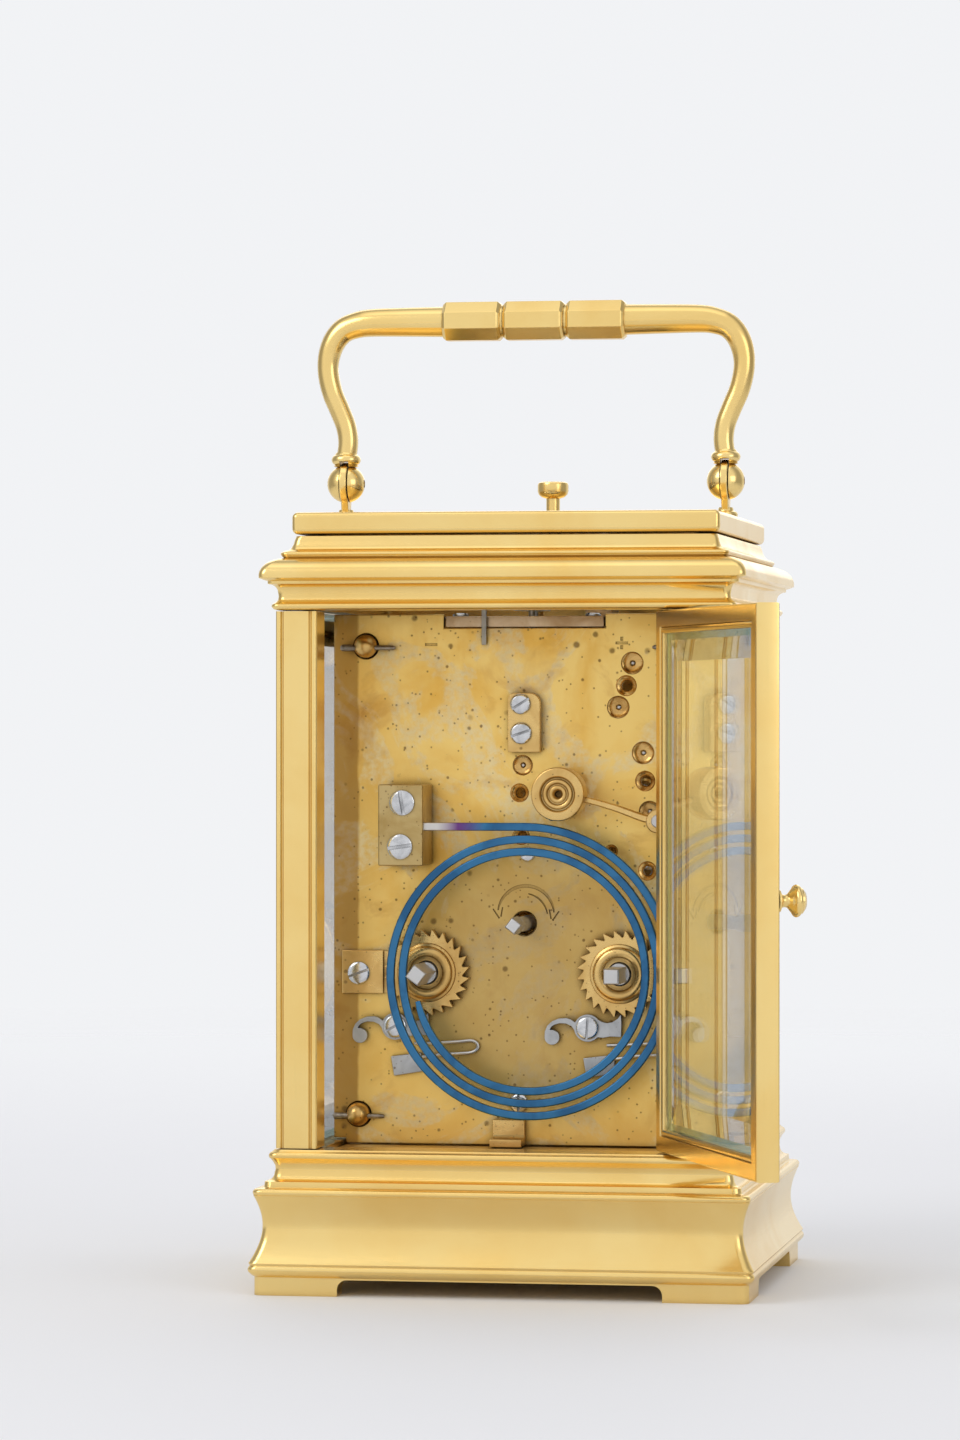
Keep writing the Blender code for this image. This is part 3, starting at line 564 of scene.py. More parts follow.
class Effects:
    """Node groups that several finishes share, each built once."""

    _built: dict[str, bpy.types.NodeTree] = {}

    @classmethod
    def group(cls, name: str, inputs: dict[str, float]) -> tuple[bpy.types.NodeTree, Graph, dict]:
        """Starts a group with a Vector input, the given number inputs and a Mask output."""
        tree = bpy.data.node_groups.new(name, "ShaderNodeTree")
        tree.interface.new_socket(name="Vector", in_out="INPUT", socket_type="NodeSocketVector")
        for key, value in inputs.items():
            socket = tree.interface.new_socket(name=key, in_out="INPUT", socket_type="NodeSocketFloat")
            socket.default_value = value
        tree.interface.new_socket(name="Mask", in_out="OUTPUT", socket_type="NodeSocketFloat")
        graph = Graph(tree)
        entry = tree.nodes.new("NodeGroupInput")
        cls._built[name] = tree
        return tree, graph, {s.name: s for s in entry.outputs}

    @classmethod
    def ended(cls, graph: Graph, mask: bpy.types.NodeSocket) -> None:
        """Sends the mask out of the group."""
        leave = graph.tree.nodes.new("NodeGroupOutput")
        graph.link(mask, leave.inputs["Mask"])

    @classmethod
    def patches(cls) -> bpy.types.NodeTree:
        """Soft irregular patches, as of tarnish or thin lacquer."""
        if "patches" not in cls._built:
            _, g, given = cls.group("patches", {"Scale": 100.0, "Low": 0.45, "High": 0.6, "Warp": 0.6})
            noise = g.node("TexNoise", Detail=5.0, Roughness=0.6, Vector=given["Vector"],
                           Scale=given["Scale"], Distortion=given["Warp"])
            spread = g.node("MapRange", clamp=True, Value=noise.outputs["Fac"], From_Min=given["Low"],
                            From_Max=given["High"])
            cls.ended(g, spread.outputs["Result"])
        return cls._built["patches"]

    @classmethod
    def specks(cls) -> bpy.types.NodeTree:
        """Small round spots scattered at random, each of its own size."""
        if "specks" not in cls._built:
            _, g, given = cls.group("specks", {"Scale": 300.0, "Size": 0.2, "Share": 0.4})
            warp = g.node("TexNoise", Detail=2.0, Vector=given["Vector"], Scale=given["Scale"])
            cells = g.node("TexVoronoi", Vector=given["Vector"], Scale=given["Scale"])
            split = g.node("SeparateColor", Color=cells.outputs["Color"])
            chosen = g.math("LESS_THAN", split.outputs[0], given["Share"])
            size = g.math("MULTIPLY", given["Size"], split.outputs[1])
            ragged = g.math("ADD", cells.outputs["Distance"],
                            g.math("MULTIPLY", g.math("SUBTRACT", warp.outputs["Fac"], 0.5), 0.25))
            near = g.math("SUBTRACT", 1.0, g.math("DIVIDE", ragged, g.math("ADD", size, 0.001)))
            cls.ended(g, g.math("MULTIPLY", g.ramp(near, 0.0, 0.5), chosen))
        return cls._built["specks"]

    @classmethod
    def strokes(cls) -> bpy.types.NodeTree:
        """Fine parallel lines left by a polishing stick or a brush."""
        if "strokes" not in cls._built:
            _, g, given = cls.group("strokes",
                                    {"Along X": 1.0, "Along Y": 1.0, "Along Z": 1.0, "Scale": 2000.0})
            shape = g.node("CombineXYZ")
            for i, key in enumerate(("Along X", "Along Y", "Along Z")):
                g.link(given[key], shape.inputs[i])
            pulled = g.node("VectorMath", operation="MULTIPLY")
            g.link(given["Vector"], pulled.inputs[0])
            g.link(shape.outputs[0], pulled.inputs[1])
            noise = g.node("TexNoise", Detail=3.0, Roughness=0.7, Vector=pulled.outputs[0],
                           Scale=given["Scale"])
            cls.ended(g, noise.outputs["Fac"])
        return cls._built["strokes"]

    @classmethod
    def crevice_shade_and_grime(cls) -> bpy.types.NodeTree:
        """Painted shade in inner corners, together with the polish and dust that stay behind there."""
        if "crevice_shade_and_grime" not in cls._built:
            _, g, given = cls.group("crevice_shade_and_grime", {"Reach": 1.2 * MM, "Start": 0.15})
            shade = g.node("AmbientOcclusion", samples=6, Distance=given["Reach"])
            hidden = g.math("SUBTRACT", 1.0, shade.outputs["AO"])
            spread = g.node("MapRange", clamp=True, Value=hidden, From_Min=given["Start"], From_Max=0.85)
            cls.ended(g, spread.outputs["Result"])
        return cls._built["crevice_shade_and_grime"]


def new_material(name: str) -> tuple[bpy.types.Material, Graph, bpy.types.Node]:
    """An empty node material, its graph and its Principled shader."""
    made = bpy.data.materials.new(name)
    made.use_nodes = True
    return made, Graph(made.node_tree), made.node_tree.nodes["Principled BSDF"]


@dataclass(frozen=True)
class Metal:
    """A metal surface with patches, specks, polishing lines, and painted shade with grime in its corners."""

    name: str
    bright: Colour
    deep: Colour
    roughness: float
    patch_scale: float = 60.0
    patch_range: tuple[float, float] = (0.42, 0.68)
    # Painted shade with grime in inner corners: its colour, how strongly it is laid on, and how far it
    # reaches in millimetres.
    shade_and_grime_colour: Colour = (0.10, 0.055, 0.02)
    shade_and_grime_share: float = 0.75
    shade_and_grime_reach: float = 1.2
    specks: float = 0.0
    speck_scale: float = 260.0
    bloom: float = 0.0
    bloom_colour: Colour = (0.80, 0.76, 0.62)
    pull: tuple[float, float, float] = (0.06, 1.0, 1.0)
    line_scale: float = 3500.0
    line_depth: float = 0.02
    rough_spread: float = 0.10
    speck_colour: Colour = (0.13, 0.07, 0.025)
    tide_scale: float = 38.0
    tide_range: tuple[float, float] = (0.50, 0.66)
    stain_scale: float = 85.0
    stain_range: tuple[float, float] = (0.56, 0.78)
    stain_colour: Colour = (0.50, 0.24, 0.055)
    strip_from: float = 0.0
    strip_colour: Colour = (0.30, 0.135, 0.028)
    gong_middle: tuple[float, float, float] = (-1.87, 12.2, 54.0)
    gong_colour: Colour = (0.44, 0.29, 0.105)

    def build(self) -> bpy.types.Material:
        """Makes the material.

        Returns:
            The material, with every varying value worked out from the surface's own place.
        """
        made, g, shader = new_material(self.name)
        place = g.node("TexCoord").outputs["Object"]
        patch = g.node("Group", node_tree=Effects.patches(), Vector=place, Scale=self.patch_scale,
                       Low=self.patch_range[0], High=self.patch_range[1])
        colour = g.blend(patch.outputs["Mask"], self.bright, self.deep)
        lines = g.node("Group", node_tree=Effects.strokes(), Vector=place)
        for i, key in enumerate(("Along X", "Along Y", "Along Z")):
            lines.inputs[key].default_value = self.pull[i]
        lines.inputs["Scale"].default_value = self.line_scale
        rough = g.math("ADD", g.math("MULTIPLY", lines.outputs["Mask"], self.rough_spread),
                       g.math("MULTIPLY", patch.outputs["Mask"], self.rough_spread * 0.6))
        rough = g.math("ADD", rough, self.roughness - self.rough_spread * 0.6)
        metallic = 1.0
        if self.bloom > 0.0:
            colour, rough, metallic = self.bloomed(g, place, colour, rough)
        if self.strip_from > 0.0:
            colour = self.zoned(g, place, colour)
        if self.specks > 0.0:
            colour, rough = self.specked(g, place, colour, rough)
        # Painted shade with grime: inner corners found by ambient occlusion are darkened towards that colour
        # and made rougher.
        crevice = g.node("Group", node_tree=Effects.crevice_shade_and_grime(), Reach=self.shade_and_grime_reach * MM)
        shade_and_grime = g.math("MULTIPLY", crevice.outputs["Mask"], self.shade_and_grime_share)
        colour = g.blend(shade_and_grime, colour, self.shade_and_grime_colour)
        rough = g.math("ADD", rough, g.math("MULTIPLY", shade_and_grime, 0.25))
        g.feed(shader, Base_Color=colour, Roughness=rough, Metallic=metallic)
        bump = g.node("Bump", Strength=self.line_depth, Distance=0.05 * MM, Height=lines.outputs["Mask"])
        g.feed(shader, Normal=bump.outputs["Normal"])
        return made

    def bloomed(self, g: Graph, place: bpy.types.NodeSocket, colour: bpy.types.NodeSocket,
                rough: bpy.types.NodeSocket) -> tuple[bpy.types.NodeSocket, ...]:
        """Adds pale dried-on tide marks and brown stains between them."""
        tide = g.node("Group", node_tree=Effects.patches(), Vector=place, Scale=self.tide_scale,
                      Low=self.tide_range[0], High=self.tide_range[1], Warp=1.6)
        edge = g.math("MULTIPLY", tide.outputs["Mask"], g.math("SUBTRACT", 1.0, tide.outputs["Mask"]))
        pale = g.math("MULTIPLY", edge, 4.0 * self.bloom)
        fine = g.node("TexNoise", Scale=900.0, Detail=4.0, Vector=place)
        pale = g.math("MULTIPLY", pale, g.ramp(fine.outputs["Fac"], 0.30, 0.62))
        colour = g.blend(pale, colour, self.bloom_colour)
        stain = g.node("Group", node_tree=Effects.patches(), Vector=place, Scale=self.stain_scale,
                       Low=self.stain_range[0], High=self.stain_range[1])
        brown = g.math("MULTIPLY", stain.outputs["Mask"], self.bloom)
        colour = g.blend(brown, colour, self.stain_colour)
        rough = g.math("ADD", rough, g.math("MULTIPLY", pale, 0.22))
        metallic = g.math("SUBTRACT", 1.0, g.math("MULTIPLY", pale, 0.35))
        return colour, rough, metallic

    def zoned(self, g: Graph, place: bpy.types.NodeSocket,
              colour: bpy.types.NodeSocket) -> bpy.types.NodeSocket:
        """Paints the shade that the pillars of the case cast as darker strips, and darkens the plate inside
        the gong.
        """
        split = g.node("SeparateXYZ")
        g.link(place, split.inputs[0])
        ragged = g.node("TexNoise", Scale=220.0, Detail=3.0, Vector=place)
        ripple = g.math("MULTIPLY", g.math("SUBTRACT", ragged.outputs["Fac"], 0.5), 2.4 * MM)
        out = g.math("ADD", g.math("ABSOLUTE", split.outputs["X"]), g.math("MULTIPLY", ripple, 0.35))
        strip = g.math("MULTIPLY", g.ramp(out, self.strip_from * MM, (self.strip_from + 0.5) * MM), 0.62)
        colour = g.blend(strip, colour, self.strip_colour)
        gap = g.node("VectorMath", operation="SUBTRACT")
        g.link(place, gap.inputs[0])
        gap.inputs[1].default_value = [part * MM for part in self.gong_middle]
        away = g.node("VectorMath", operation="LENGTH")
        g.link(gap.outputs[0], away.inputs[0])
        near = g.math("SUBTRACT", 1.0, g.ramp(g.math("ADD", away.outputs["Value"], ripple), 0.017, 0.030))
        return g.blend(g.math("MULTIPLY", near, 0.72), colour, self.gong_colour)

    def specked(self, g: Graph, place: bpy.types.NodeSocket, colour: bpy.types.NodeSocket,
                rough: bpy.types.NodeSocket) -> tuple[bpy.types.NodeSocket, ...]:
        """Adds dark spots of two sizes."""
        for factor, size in ((1.0, 0.30), (2.1, 0.30), (4.6, 0.36)):
            dots = g.node("Group", node_tree=Effects.specks(), Vector=place, Scale=self.speck_scale * factor,
                          Size=size, Share=self.specks)
            mask = g.math("MULTIPLY", dots.outputs["Mask"], 0.65)
            colour = g.blend(mask, colour, self.speck_colour)
            rough = g.math("ADD", rough, g.math("MULTIPLY", mask, 0.2))
        return colour, rough


@dataclass(frozen=True)
class BluedWire:
    """Heat-blued steel that runs back to bright metal where a wire enters its block."""

    name: str
    blue: Colour = (0.050, 0.180, 0.350)
    dusk: Colour = (0.035, 0.120, 0.250)
    plum: Colour = (0.16, 0.06, 0.22)
    bare: Colour = (0.62, 0.60, 0.57)
    lead_from: float = 1.0
    lead_to: float = 16.8
    lead_low: float = 79.6

    def build(self) -> bpy.types.Material:
        """Makes the material, coloured by the place along the straight lead."""
        made, g, shader = new_material(self.name)
        place = g.node("TexCoord").outputs["Object"]
        split = g.node("SeparateXYZ")
        g.link(place, split.inputs[0])
        along = g.ramp(split.outputs["X"], self.lead_from * MM, self.lead_to * MM)
        on_lead = g.math("GREATER_THAN", split.outputs["Z"], self.lead_low * MM)
        along = g.math("MULTIPLY", along, on_lead)
        patch = g.node("Group", node_tree=Effects.patches(), Vector=place, Scale=90.0)
        colour = g.blend(patch.outputs["Mask"], self.blue, self.dusk)
        colour = g.blend(g.ramp(along, 0.30, 0.62), colour, self.plum)
        colour = g.blend(g.ramp(along, 0.62, 0.86), colour, self.bare)
        fine = g.node("TexNoise", Scale=1500.0, Detail=3.0, Vector=place)
        rough = g.math("ADD", g.math("MULTIPLY", fine.outputs["Fac"], 0.12), 0.26)
        g.feed(shader, Base_Color=colour, Roughness=rough, Metallic=1.0)
        bump = g.node("Bump", Strength=0.03, Distance=0.05 * MM, Height=fine.outputs["Fac"])
        g.feed(shader, Normal=bump.outputs["Normal"])
        return made


@dataclass(frozen=True)
class Glass:
    """Polished plate glass, clear on its faces and greenish where it is seen through its rim."""

    name: str
    tint: Colour = (0.965, 0.985, 0.975)
    roughness: float = 0.0
    clear_shadow: float = 0.92

    def build(self) -> bpy.types.Material:
        """Makes the material, which lets most light through to what stands behind it."""
        made, g, shader = new_material(self.name)
        g.feed(shader, Transmission_Weight=1.0, Metallic=0.0, IOR=1.5)
        place = g.node("TexCoord").outputs["Object"]
        smear = g.node("Group", node_tree=Effects.patches(), Vector=place, Scale=45.0)
        g.link(g.blend(smear.outputs["Mask"], self.tint, tuple(c * 0.985 for c in self.tint)),
               shader.inputs["Base Color"])
        film = g.math("ADD", g.math("MULTIPLY", smear.outputs["Mask"], 0.012), self.roughness)
        g.feed(shader, Roughness=film)
        through = g.node("BsdfTransparent", Color=(*(c * self.clear_shadow for c in self.tint), 1.0))
        pick = g.node("MixShader")
        g.link(g.node("LightPath").outputs["Is Shadow Ray"], pick.inputs[0])
        g.link(shader.outputs[0], pick.inputs[1])
        g.link(through.outputs[0], pick.inputs[2])
        output = next(n for n in made.node_tree.nodes if n.type == "OUTPUT_MATERIAL")
        g.link(pick.outputs[0], output.inputs["Surface"])
        return made


@dataclass(frozen=True)
class Enamel:
    """Fired enamel: a hard gloss over a colour that is very slightly uneven."""

    name: str
    colour: Colour
    shade: Colour
    roughness: float = 0.12
    coat: float = 0.6
    ripple: float = 0.06

    def build(self) -> bpy.types.Material:
        """Makes the material, with a faint orange-peel ripple in its gloss."""
        made, g, shader = new_material(self.name)
        place = g.node("TexCoord").outputs["Object"]
        patch = g.node("Group", node_tree=Effects.patches(), Vector=place, Scale=70.0)
        colour = g.blend(g.math("MULTIPLY", patch.outputs["Mask"], 0.6), self.colour, self.shade)
        dots = g.node("Group", node_tree=Effects.specks(), Vector=place, Scale=420.0, Size=0.10, Share=0.12)
        colour = g.blend(g.math("MULTIPLY", dots.outputs["Mask"], 0.35), colour, (0.25, 0.22, 0.18))
        g.feed(shader, Base_Color=colour)
        ripple = g.node("TexNoise", Scale=260.0, Detail=2.0, Vector=place)
        g.link(g.math("ADD", g.math("MULTIPLY", ripple.outputs["Fac"], 0.05), self.roughness),
               shader.inputs["Roughness"])
        g.feed(shader, Coat_Weight=self.coat, Coat_Roughness=0.04)
        bump = g.node("Bump", Strength=self.ripple, Distance=0.2 * MM, Height=ripple.outputs["Fac"])
        g.feed(shader, Normal=bump.outputs["Normal"])
        return made


class Finish(Enum):
    """Every finish that the clock has."""

    # Each metal's corner colour, share and reach set the painted shade with grime in its inner corners.
    CASE = Metal("case_gilt_brass", (0.93, 0.69, 0.275), (0.88, 0.60, 0.20), 0.20, patch_scale=26.0,
                 pull=(0.03, 1.0, 1.0), line_scale=2600.0, line_depth=0.05, rough_spread=0.12,
                 shade_and_grime_colour=(0.20, 0.095, 0.02), shade_and_grime_share=0.55, shade_and_grime_reach=1.4)
    CASE_UPRIGHT = Metal("case_gilt_brass_upright", (0.93, 0.69, 0.275), (0.88, 0.60, 0.20), 0.20,
                         patch_scale=26.0, pull=(1.0, 1.0, 0.03), line_scale=2600.0, line_depth=0.05,
                         rough_spread=0.12, shade_and_grime_colour=(0.20, 0.095, 0.02), shade_and_grime_share=0.55, shade_and_grime_reach=1.4)
    PLATE = Metal("movement_gilt_patina", (0.86, 0.60, 0.19), (0.80, 0.46, 0.085), 0.36, patch_scale=48.0,
                  specks=0.16, speck_scale=300.0, bloom=0.78, strip_from=30.9,
                  bloom_colour=(0.90, 0.76, 0.44), shade_and_grime_colour=(0.09, 0.05, 0.02), shade_and_grime_share=0.9,
                  shade_and_grime_reach=2.2, pull=(1.0, 1.0, 0.05), line_scale=1800.0, line_depth=0.05,
                  rough_spread=0.16)
    FITTING = Metal("movement_brass_fittings", (0.76, 0.52, 0.20), (0.60, 0.37, 0.12), 0.28,
                    patch_scale=120.0,
                    specks=0.18, speck_scale=600.0, shade_and_grime_colour=(0.08, 0.045, 0.02), shade_and_grime_share=0.9,
                    pull=(0.05, 1.0, 1.0), line_scale=3000.0, line_depth=0.05)
    WHEEL = Metal("wheel_brass", (0.84, 0.60, 0.24), (0.70, 0.45, 0.15), 0.26, patch_scale=150.0,
                  shade_and_grime_colour=(0.10, 0.06, 0.025), shade_and_grime_share=0.8, line_scale=2600.0)
    SINK = Metal("turned_sink", (0.80, 0.52, 0.19), (0.48, 0.27, 0.08), 0.22, patch_scale=300.0,
                 shade_and_grime_colour=(0.05, 0.03, 0.015), shade_and_grime_share=0.9, shade_and_grime_reach=2.5, line_scale=5000.0)
    FLOOR = Metal("case_floor_dusty_gilt", (0.70, 0.44, 0.13), (0.52, 0.29, 0.07), 0.30, patch_scale=90.0,
                  specks=0.30, speck_scale=500.0, bloom=0.45, bloom_colour=(0.85, 0.74, 0.52), shade_and_grime_reach=3.0)
    STEEL = Metal("polished_steel", (0.74, 0.74, 0.74), (0.58, 0.58, 0.59), 0.16, patch_scale=220.0,
                  shade_and_grime_colour=(0.06, 0.055, 0.05), shade_and_grime_share=0.8, pull=(1.0, 1.0, 0.08), line_scale=4200.0,
                  line_depth=0.07, rough_spread=0.14)
    GREY_STEEL = Metal("grained_grey_steel", (0.50, 0.51, 0.52), (0.36, 0.37, 0.38), 0.36, patch_scale=160.0,
                       specks=0.12, speck_scale=500.0, shade_and_grime_colour=(0.06, 0.05, 0.045), pull=(0.05, 1.0, 1.0),
                       line_scale=3600.0, line_depth=0.12)
    TAPER_PIN = Metal("aged_taper_pin", (0.36, 0.31, 0.25), (0.17, 0.14, 0.11), 0.42, patch_scale=500.0,
                      shade_and_grime_colour=(0.04, 0.03, 0.02), shade_and_grime_share=0.9, line_scale=3000.0, line_depth=0.12)
    SCREW = Metal("polished_screw_steel", (0.66, 0.67, 0.69), (0.46, 0.47, 0.49), 0.18, patch_scale=400.0,
                  shade_and_grime_colour=(0.02, 0.018, 0.015), shade_and_grime_share=0.95, shade_and_grime_reach=0.9, pull=(1.0, 1.0, 1.0),
                  line_scale=2600.0, line_depth=0.10, rough_spread=0.16)
    BLOCK = Metal("aged_block_brass", (0.56, 0.42, 0.19), (0.44, 0.30, 0.11), 0.34, patch_scale=120.0,
                  specks=0.22, speck_scale=500.0, shade_and_grime_colour=(0.08, 0.045, 0.02), shade_and_grime_share=0.8,
                  pull=(1.0, 1.0, 0.05), line_scale=3000.0, line_depth=0.05)
    PLATFORM = Metal("aged_platform_brass", (0.62, 0.46, 0.29), (0.44, 0.28, 0.14), 0.34, patch_scale=140.0,
                     specks=0.15, speck_scale=600.0, shade_and_grime_colour=(0.10, 0.06, 0.03), shade_and_grime_share=0.9,
                     line_scale=2600.0)
    GONG = BluedWire("blued_gong_wire")
    BLUE = Metal("blued_steel_hands", (0.030, 0.075, 0.240), (0.020, 0.045, 0.150), 0.20, patch_scale=200.0,
                 shade_and_grime_colour=(0.01, 0.01, 0.02))
    GLASS = Glass("plate_glass")
    GLASS_RIM = Glass("plate_glass_rim", (0.30, 0.56, 0.46), 0.25, 0.6)
    DIAL = Enamel("white_dial_enamel", (0.90, 0.89, 0.86), (0.84, 0.83, 0.79))
    NUMERAL = Enamel("black_numeral_enamel", (0.012, 0.012, 0.014), (0.03, 0.03, 0.032), 0.22, 0.3, 0.02)
    RUBY = Enamel("ruby_jewel", (0.42, 0.012, 0.04), (0.30, 0.006, 0.03), 0.06, 1.0, 0.0)

    def material(self) -> bpy.types.Material:
        """The finish's material, built the first time that it is asked for."""
        found = bpy.data.materials.get(self.value.name)
        return found or self.value.build()


# Sub-assemblies --------------------------------------------------------------------------------


class Frame:
    """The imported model, asked for places in millimetres."""

    def __init__(self) -> None:
        """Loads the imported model."""
        self.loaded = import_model()

    def low(self, node: str) -> Vector:
        """A node's lowest corner."""
        return Vector(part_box(node)[0]) / MM

    def high(self, node: str) -> Vector:
        """A node's highest corner."""
        return Vector(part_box(node)[1]) / MM

    @staticmethod
    def spans(low: Vector, high: Vector) -> tuple[Span, Span, Span]:
        """The spans between two corners along X, Y and Z."""
        return (low.x, high.x), (low.y, high.y), (low.z, high.z)

    def middle(self, node: str) -> Vector:
        """The middle of a node's box."""
        return (self.low(node) + self.high(node)) / 2

    def joint(self, name: str) -> dict:
        """A joint's entry in the record."""
        return next(j for j in self.loaded["joints"] if j["name"] == name)

    def pivot(self, name: str) -> Vector:
        """A point on a joint's axis."""
        return Vector(self.joint(name)["pos_m"]) / MM


@dataclass
class SubAssembly:
    """Something that is put together on its own before it goes into the clock."""

    frame: Frame
    body: str = "case"
    made: list[tuple] = field(default_factory=list)

    def add(self, piece: bpy.types.Object, slot: str, finish: Finish, *nodes: str, body: str = "",
            flat: bool = False) -> bpy.types.Object:
        """Notes a finished piece.

        Args:
            piece: The finished object.
            slot: The record's material slot; it is not used.
            finish: What it is made of.
            *nodes: CAD nodes that it stands for.
            body: The body it rides on, where that isn't the sub-assembly's own.
            flat: Whether it keeps flat shading.

        Returns:
            The piece.
        """
        self.made.append((piece, slot, finish, nodes, body or self.body, flat))
        return piece

    def build(self) -> None:
        """Models the pieces."""

    def dress(self) -> None:
        """Gives every piece its finish and hangs it on its body."""
        for piece, slot, finish, nodes, body, flat in self.made:
            if not piece.data.materials:
                piece.data.materials.append(finish.material())
            if not flat:
                Bench.smooth(piece)
            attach(piece, body)
            if nodes:
                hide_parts(*nodes)
            log.info("%s: %d faces on %s", piece.name, len(piece.data.polygons), body)


@dataclass
class Base(SubAssembly):
    """Gorge plinth on four block feet, with its cover plate and the floor of the case."""

    half: float = 45.0
    depth_less: float = 4.0
    foot_length: float = 15.5
    corner: float = 1.7

    def levels(self) -> list[tuple[float, float, float]]:
        """Section of the plinth, up its outside and down its inside."""
        low = self.frame.low("base_plinth").z
        top = self.frame.high("base_plinth").z
        outside = [(self.half, low), (self.half, 0.0), (45.35, 0.25)]
        outside += arc((45.1, 1.35), 0.95, -50, 50, 7)
        waist = (46.0, 45.25)
        steps = 20
        for i in range(steps + 1):
            t = i / steps
            half = waist[0] + (waist[1] - waist[0]) * t - 1.8 * abs(math.sin(math.pi * t)) ** 0.9
            outside.append((half - 0.05, 2.5 + (14.7 - 2.5) * t))
        outside += arc((44.55, 15.2), 0.72, -40, 95, 8)
        outside += [(43.75, 15.95), (43.5, 16.15), (43.4, 17.1)]
        outside += [(43.4 - 1.5 * math.sin(math.radians(a)), 18.6 - 1.5 * math.cos(math.radians(a)))
                    for a in range(15, 91, 15)]
        outside += [(41.75, 19.2), (41.8, 19.9), (42.1, 20.5)]
        outside += arc((42.05, 21.7), 0.75, -60, 75, 7) + [(41.9, top)]
        inside = [(33.9, top), (33.9, 19.6), (31.5, 19.6), (31.5, 17.6), (38.5, 15.6)]
        inside += [(38.5, 1.5), (40.5, 1.5), (40.5, low)]
        return [(a, a - self.depth_less, z) for a, z in outside + inside]

    def arched(self, half: float) -> list[Point]:
        """Outline of the gap between two feet, with rounded upper corners."""
        low, top, radius = self.frame.low("base_plinth").z, self.frame.low("base_cover").z - 0.3, 1.8
        right = arc((half - radius, top - radius), radius, 0, 90, 8)
        left = arc((radius - half, top - radius), radius, 90, 180, 8)
        return [(-half, low - 2.0), (half, low - 2.0), *right, *left]

    def build(self) -> None:
        """Models the plinth, cuts its feet free and lays the cover and the floor."""
        plinth = Bench.framed("gorge_plinth", self.levels(), Axis.Z, corner=self.corner)
        pivot = self.frame.pivot("rear_door_hinge")
        top = self.frame.high("base_plinth").z
        across = Bench.slab("arch", self.arched(self.half - self.foot_length), Axis.Y, (-60.0, 60.0))
        side = self.half - self.depth_less - self.foot_length
        along = Bench.slab("arch", self.arched(side), Axis.X, (-60.0, 60.0))
        hole = Bench.turned("hole", [(1.0, top - 1.9), (1.0, top + 2.0)], Axis.Z, (pivot.x, pivot.y), 24)
        Bench.cut(plinth, across, along, hole)
        self.add(Bench.rounded(plinth, 0.14, 2, 48.0), "case_brass", Finish.CASE, "base_plinth")
        low, high = self.frame.low("base_cover"), self.frame.high("base_cover")
        cover = Bench.block("base_cover_sheet", *Frame.spans(low, high), 0.3)
        self.add(cover, "case_brass", Finish.CASE, "base_cover")
        screws = []
        for x, y in itertools.product((-34.0, 34.0), (-30.0, 30.0)):
            screws.append(cheese_screw(f"cover_screw_{len(screws)}", Vector((x, y, low.z - 0.6)), 2.1, 0.7,
                                       35.0 * len(screws), Axis.Z, down=True))
        self.add(Bench.grouped("base_cover_screws", screws), "polished_steel", Finish.STEEL)
        low, high = self.frame.low("base_floor"), self.frame.high("base_floor")
        floor = Bench.block("case_floor", *Frame.spans(low, high), 0.2)
        self.add(floor, "case_brass", Finish.FLOOR, "base_floor")


def cheese_screw(name: str, at: Vector, radius: float, rise: float, turn: float, axis: Axis = Axis.Y,
                 down: bool = False, slot: float = 0.45) -> bpy.types.Object:
    """A slotted screw head with a domed top.

    Args:
        name: The screw's name.
        at: The middle of the head's seat.
        radius: The head's radius.
        rise: The head's height.
        turn: Angle of the slot in degrees.
        axis: The direction that the screw is driven along.
        down: Whether the head looks along -axis.
        slot: The slot's width.

    Returns:
        The screw head, with a short shank below it.
    """
    profile = [(radius * 0.5, -0.15), (radius * 0.98, 0.0), (radius, rise * 0.55)]
    for i in range(1, 6):
        t = math.radians(18 * i)
        profile.append((radius * math.cos(t) * 0.96, rise * (0.62 + 0.38 * math.sin(t))))
    head = Bench.turned(name, profile, Axis.Z, (0.0, 0.0), 28)
    cutter = Bench.block("slot", (-radius * 1.3, radius * 1.3), (-slot / 2, slot / 2),
                         (rise * 0.45, rise + 1.0))
    cutter.rotation_euler.z = math.radians(turn)
    Bench.settled(cutter)
    Bench.cut(head, cutter)
    flip = math.pi if down else 0.0
    turns = {Axis.Z: (flip, 0.0, 0.0), Axis.Y: (flip - math.pi / 2, 0.0, 0.0),
             Axis.X: (0.0, flip + math.pi / 2, 0.0)}
    head.rotation_euler = turns[axis]
    head.location = at * MM
    return Bench.settled(head)


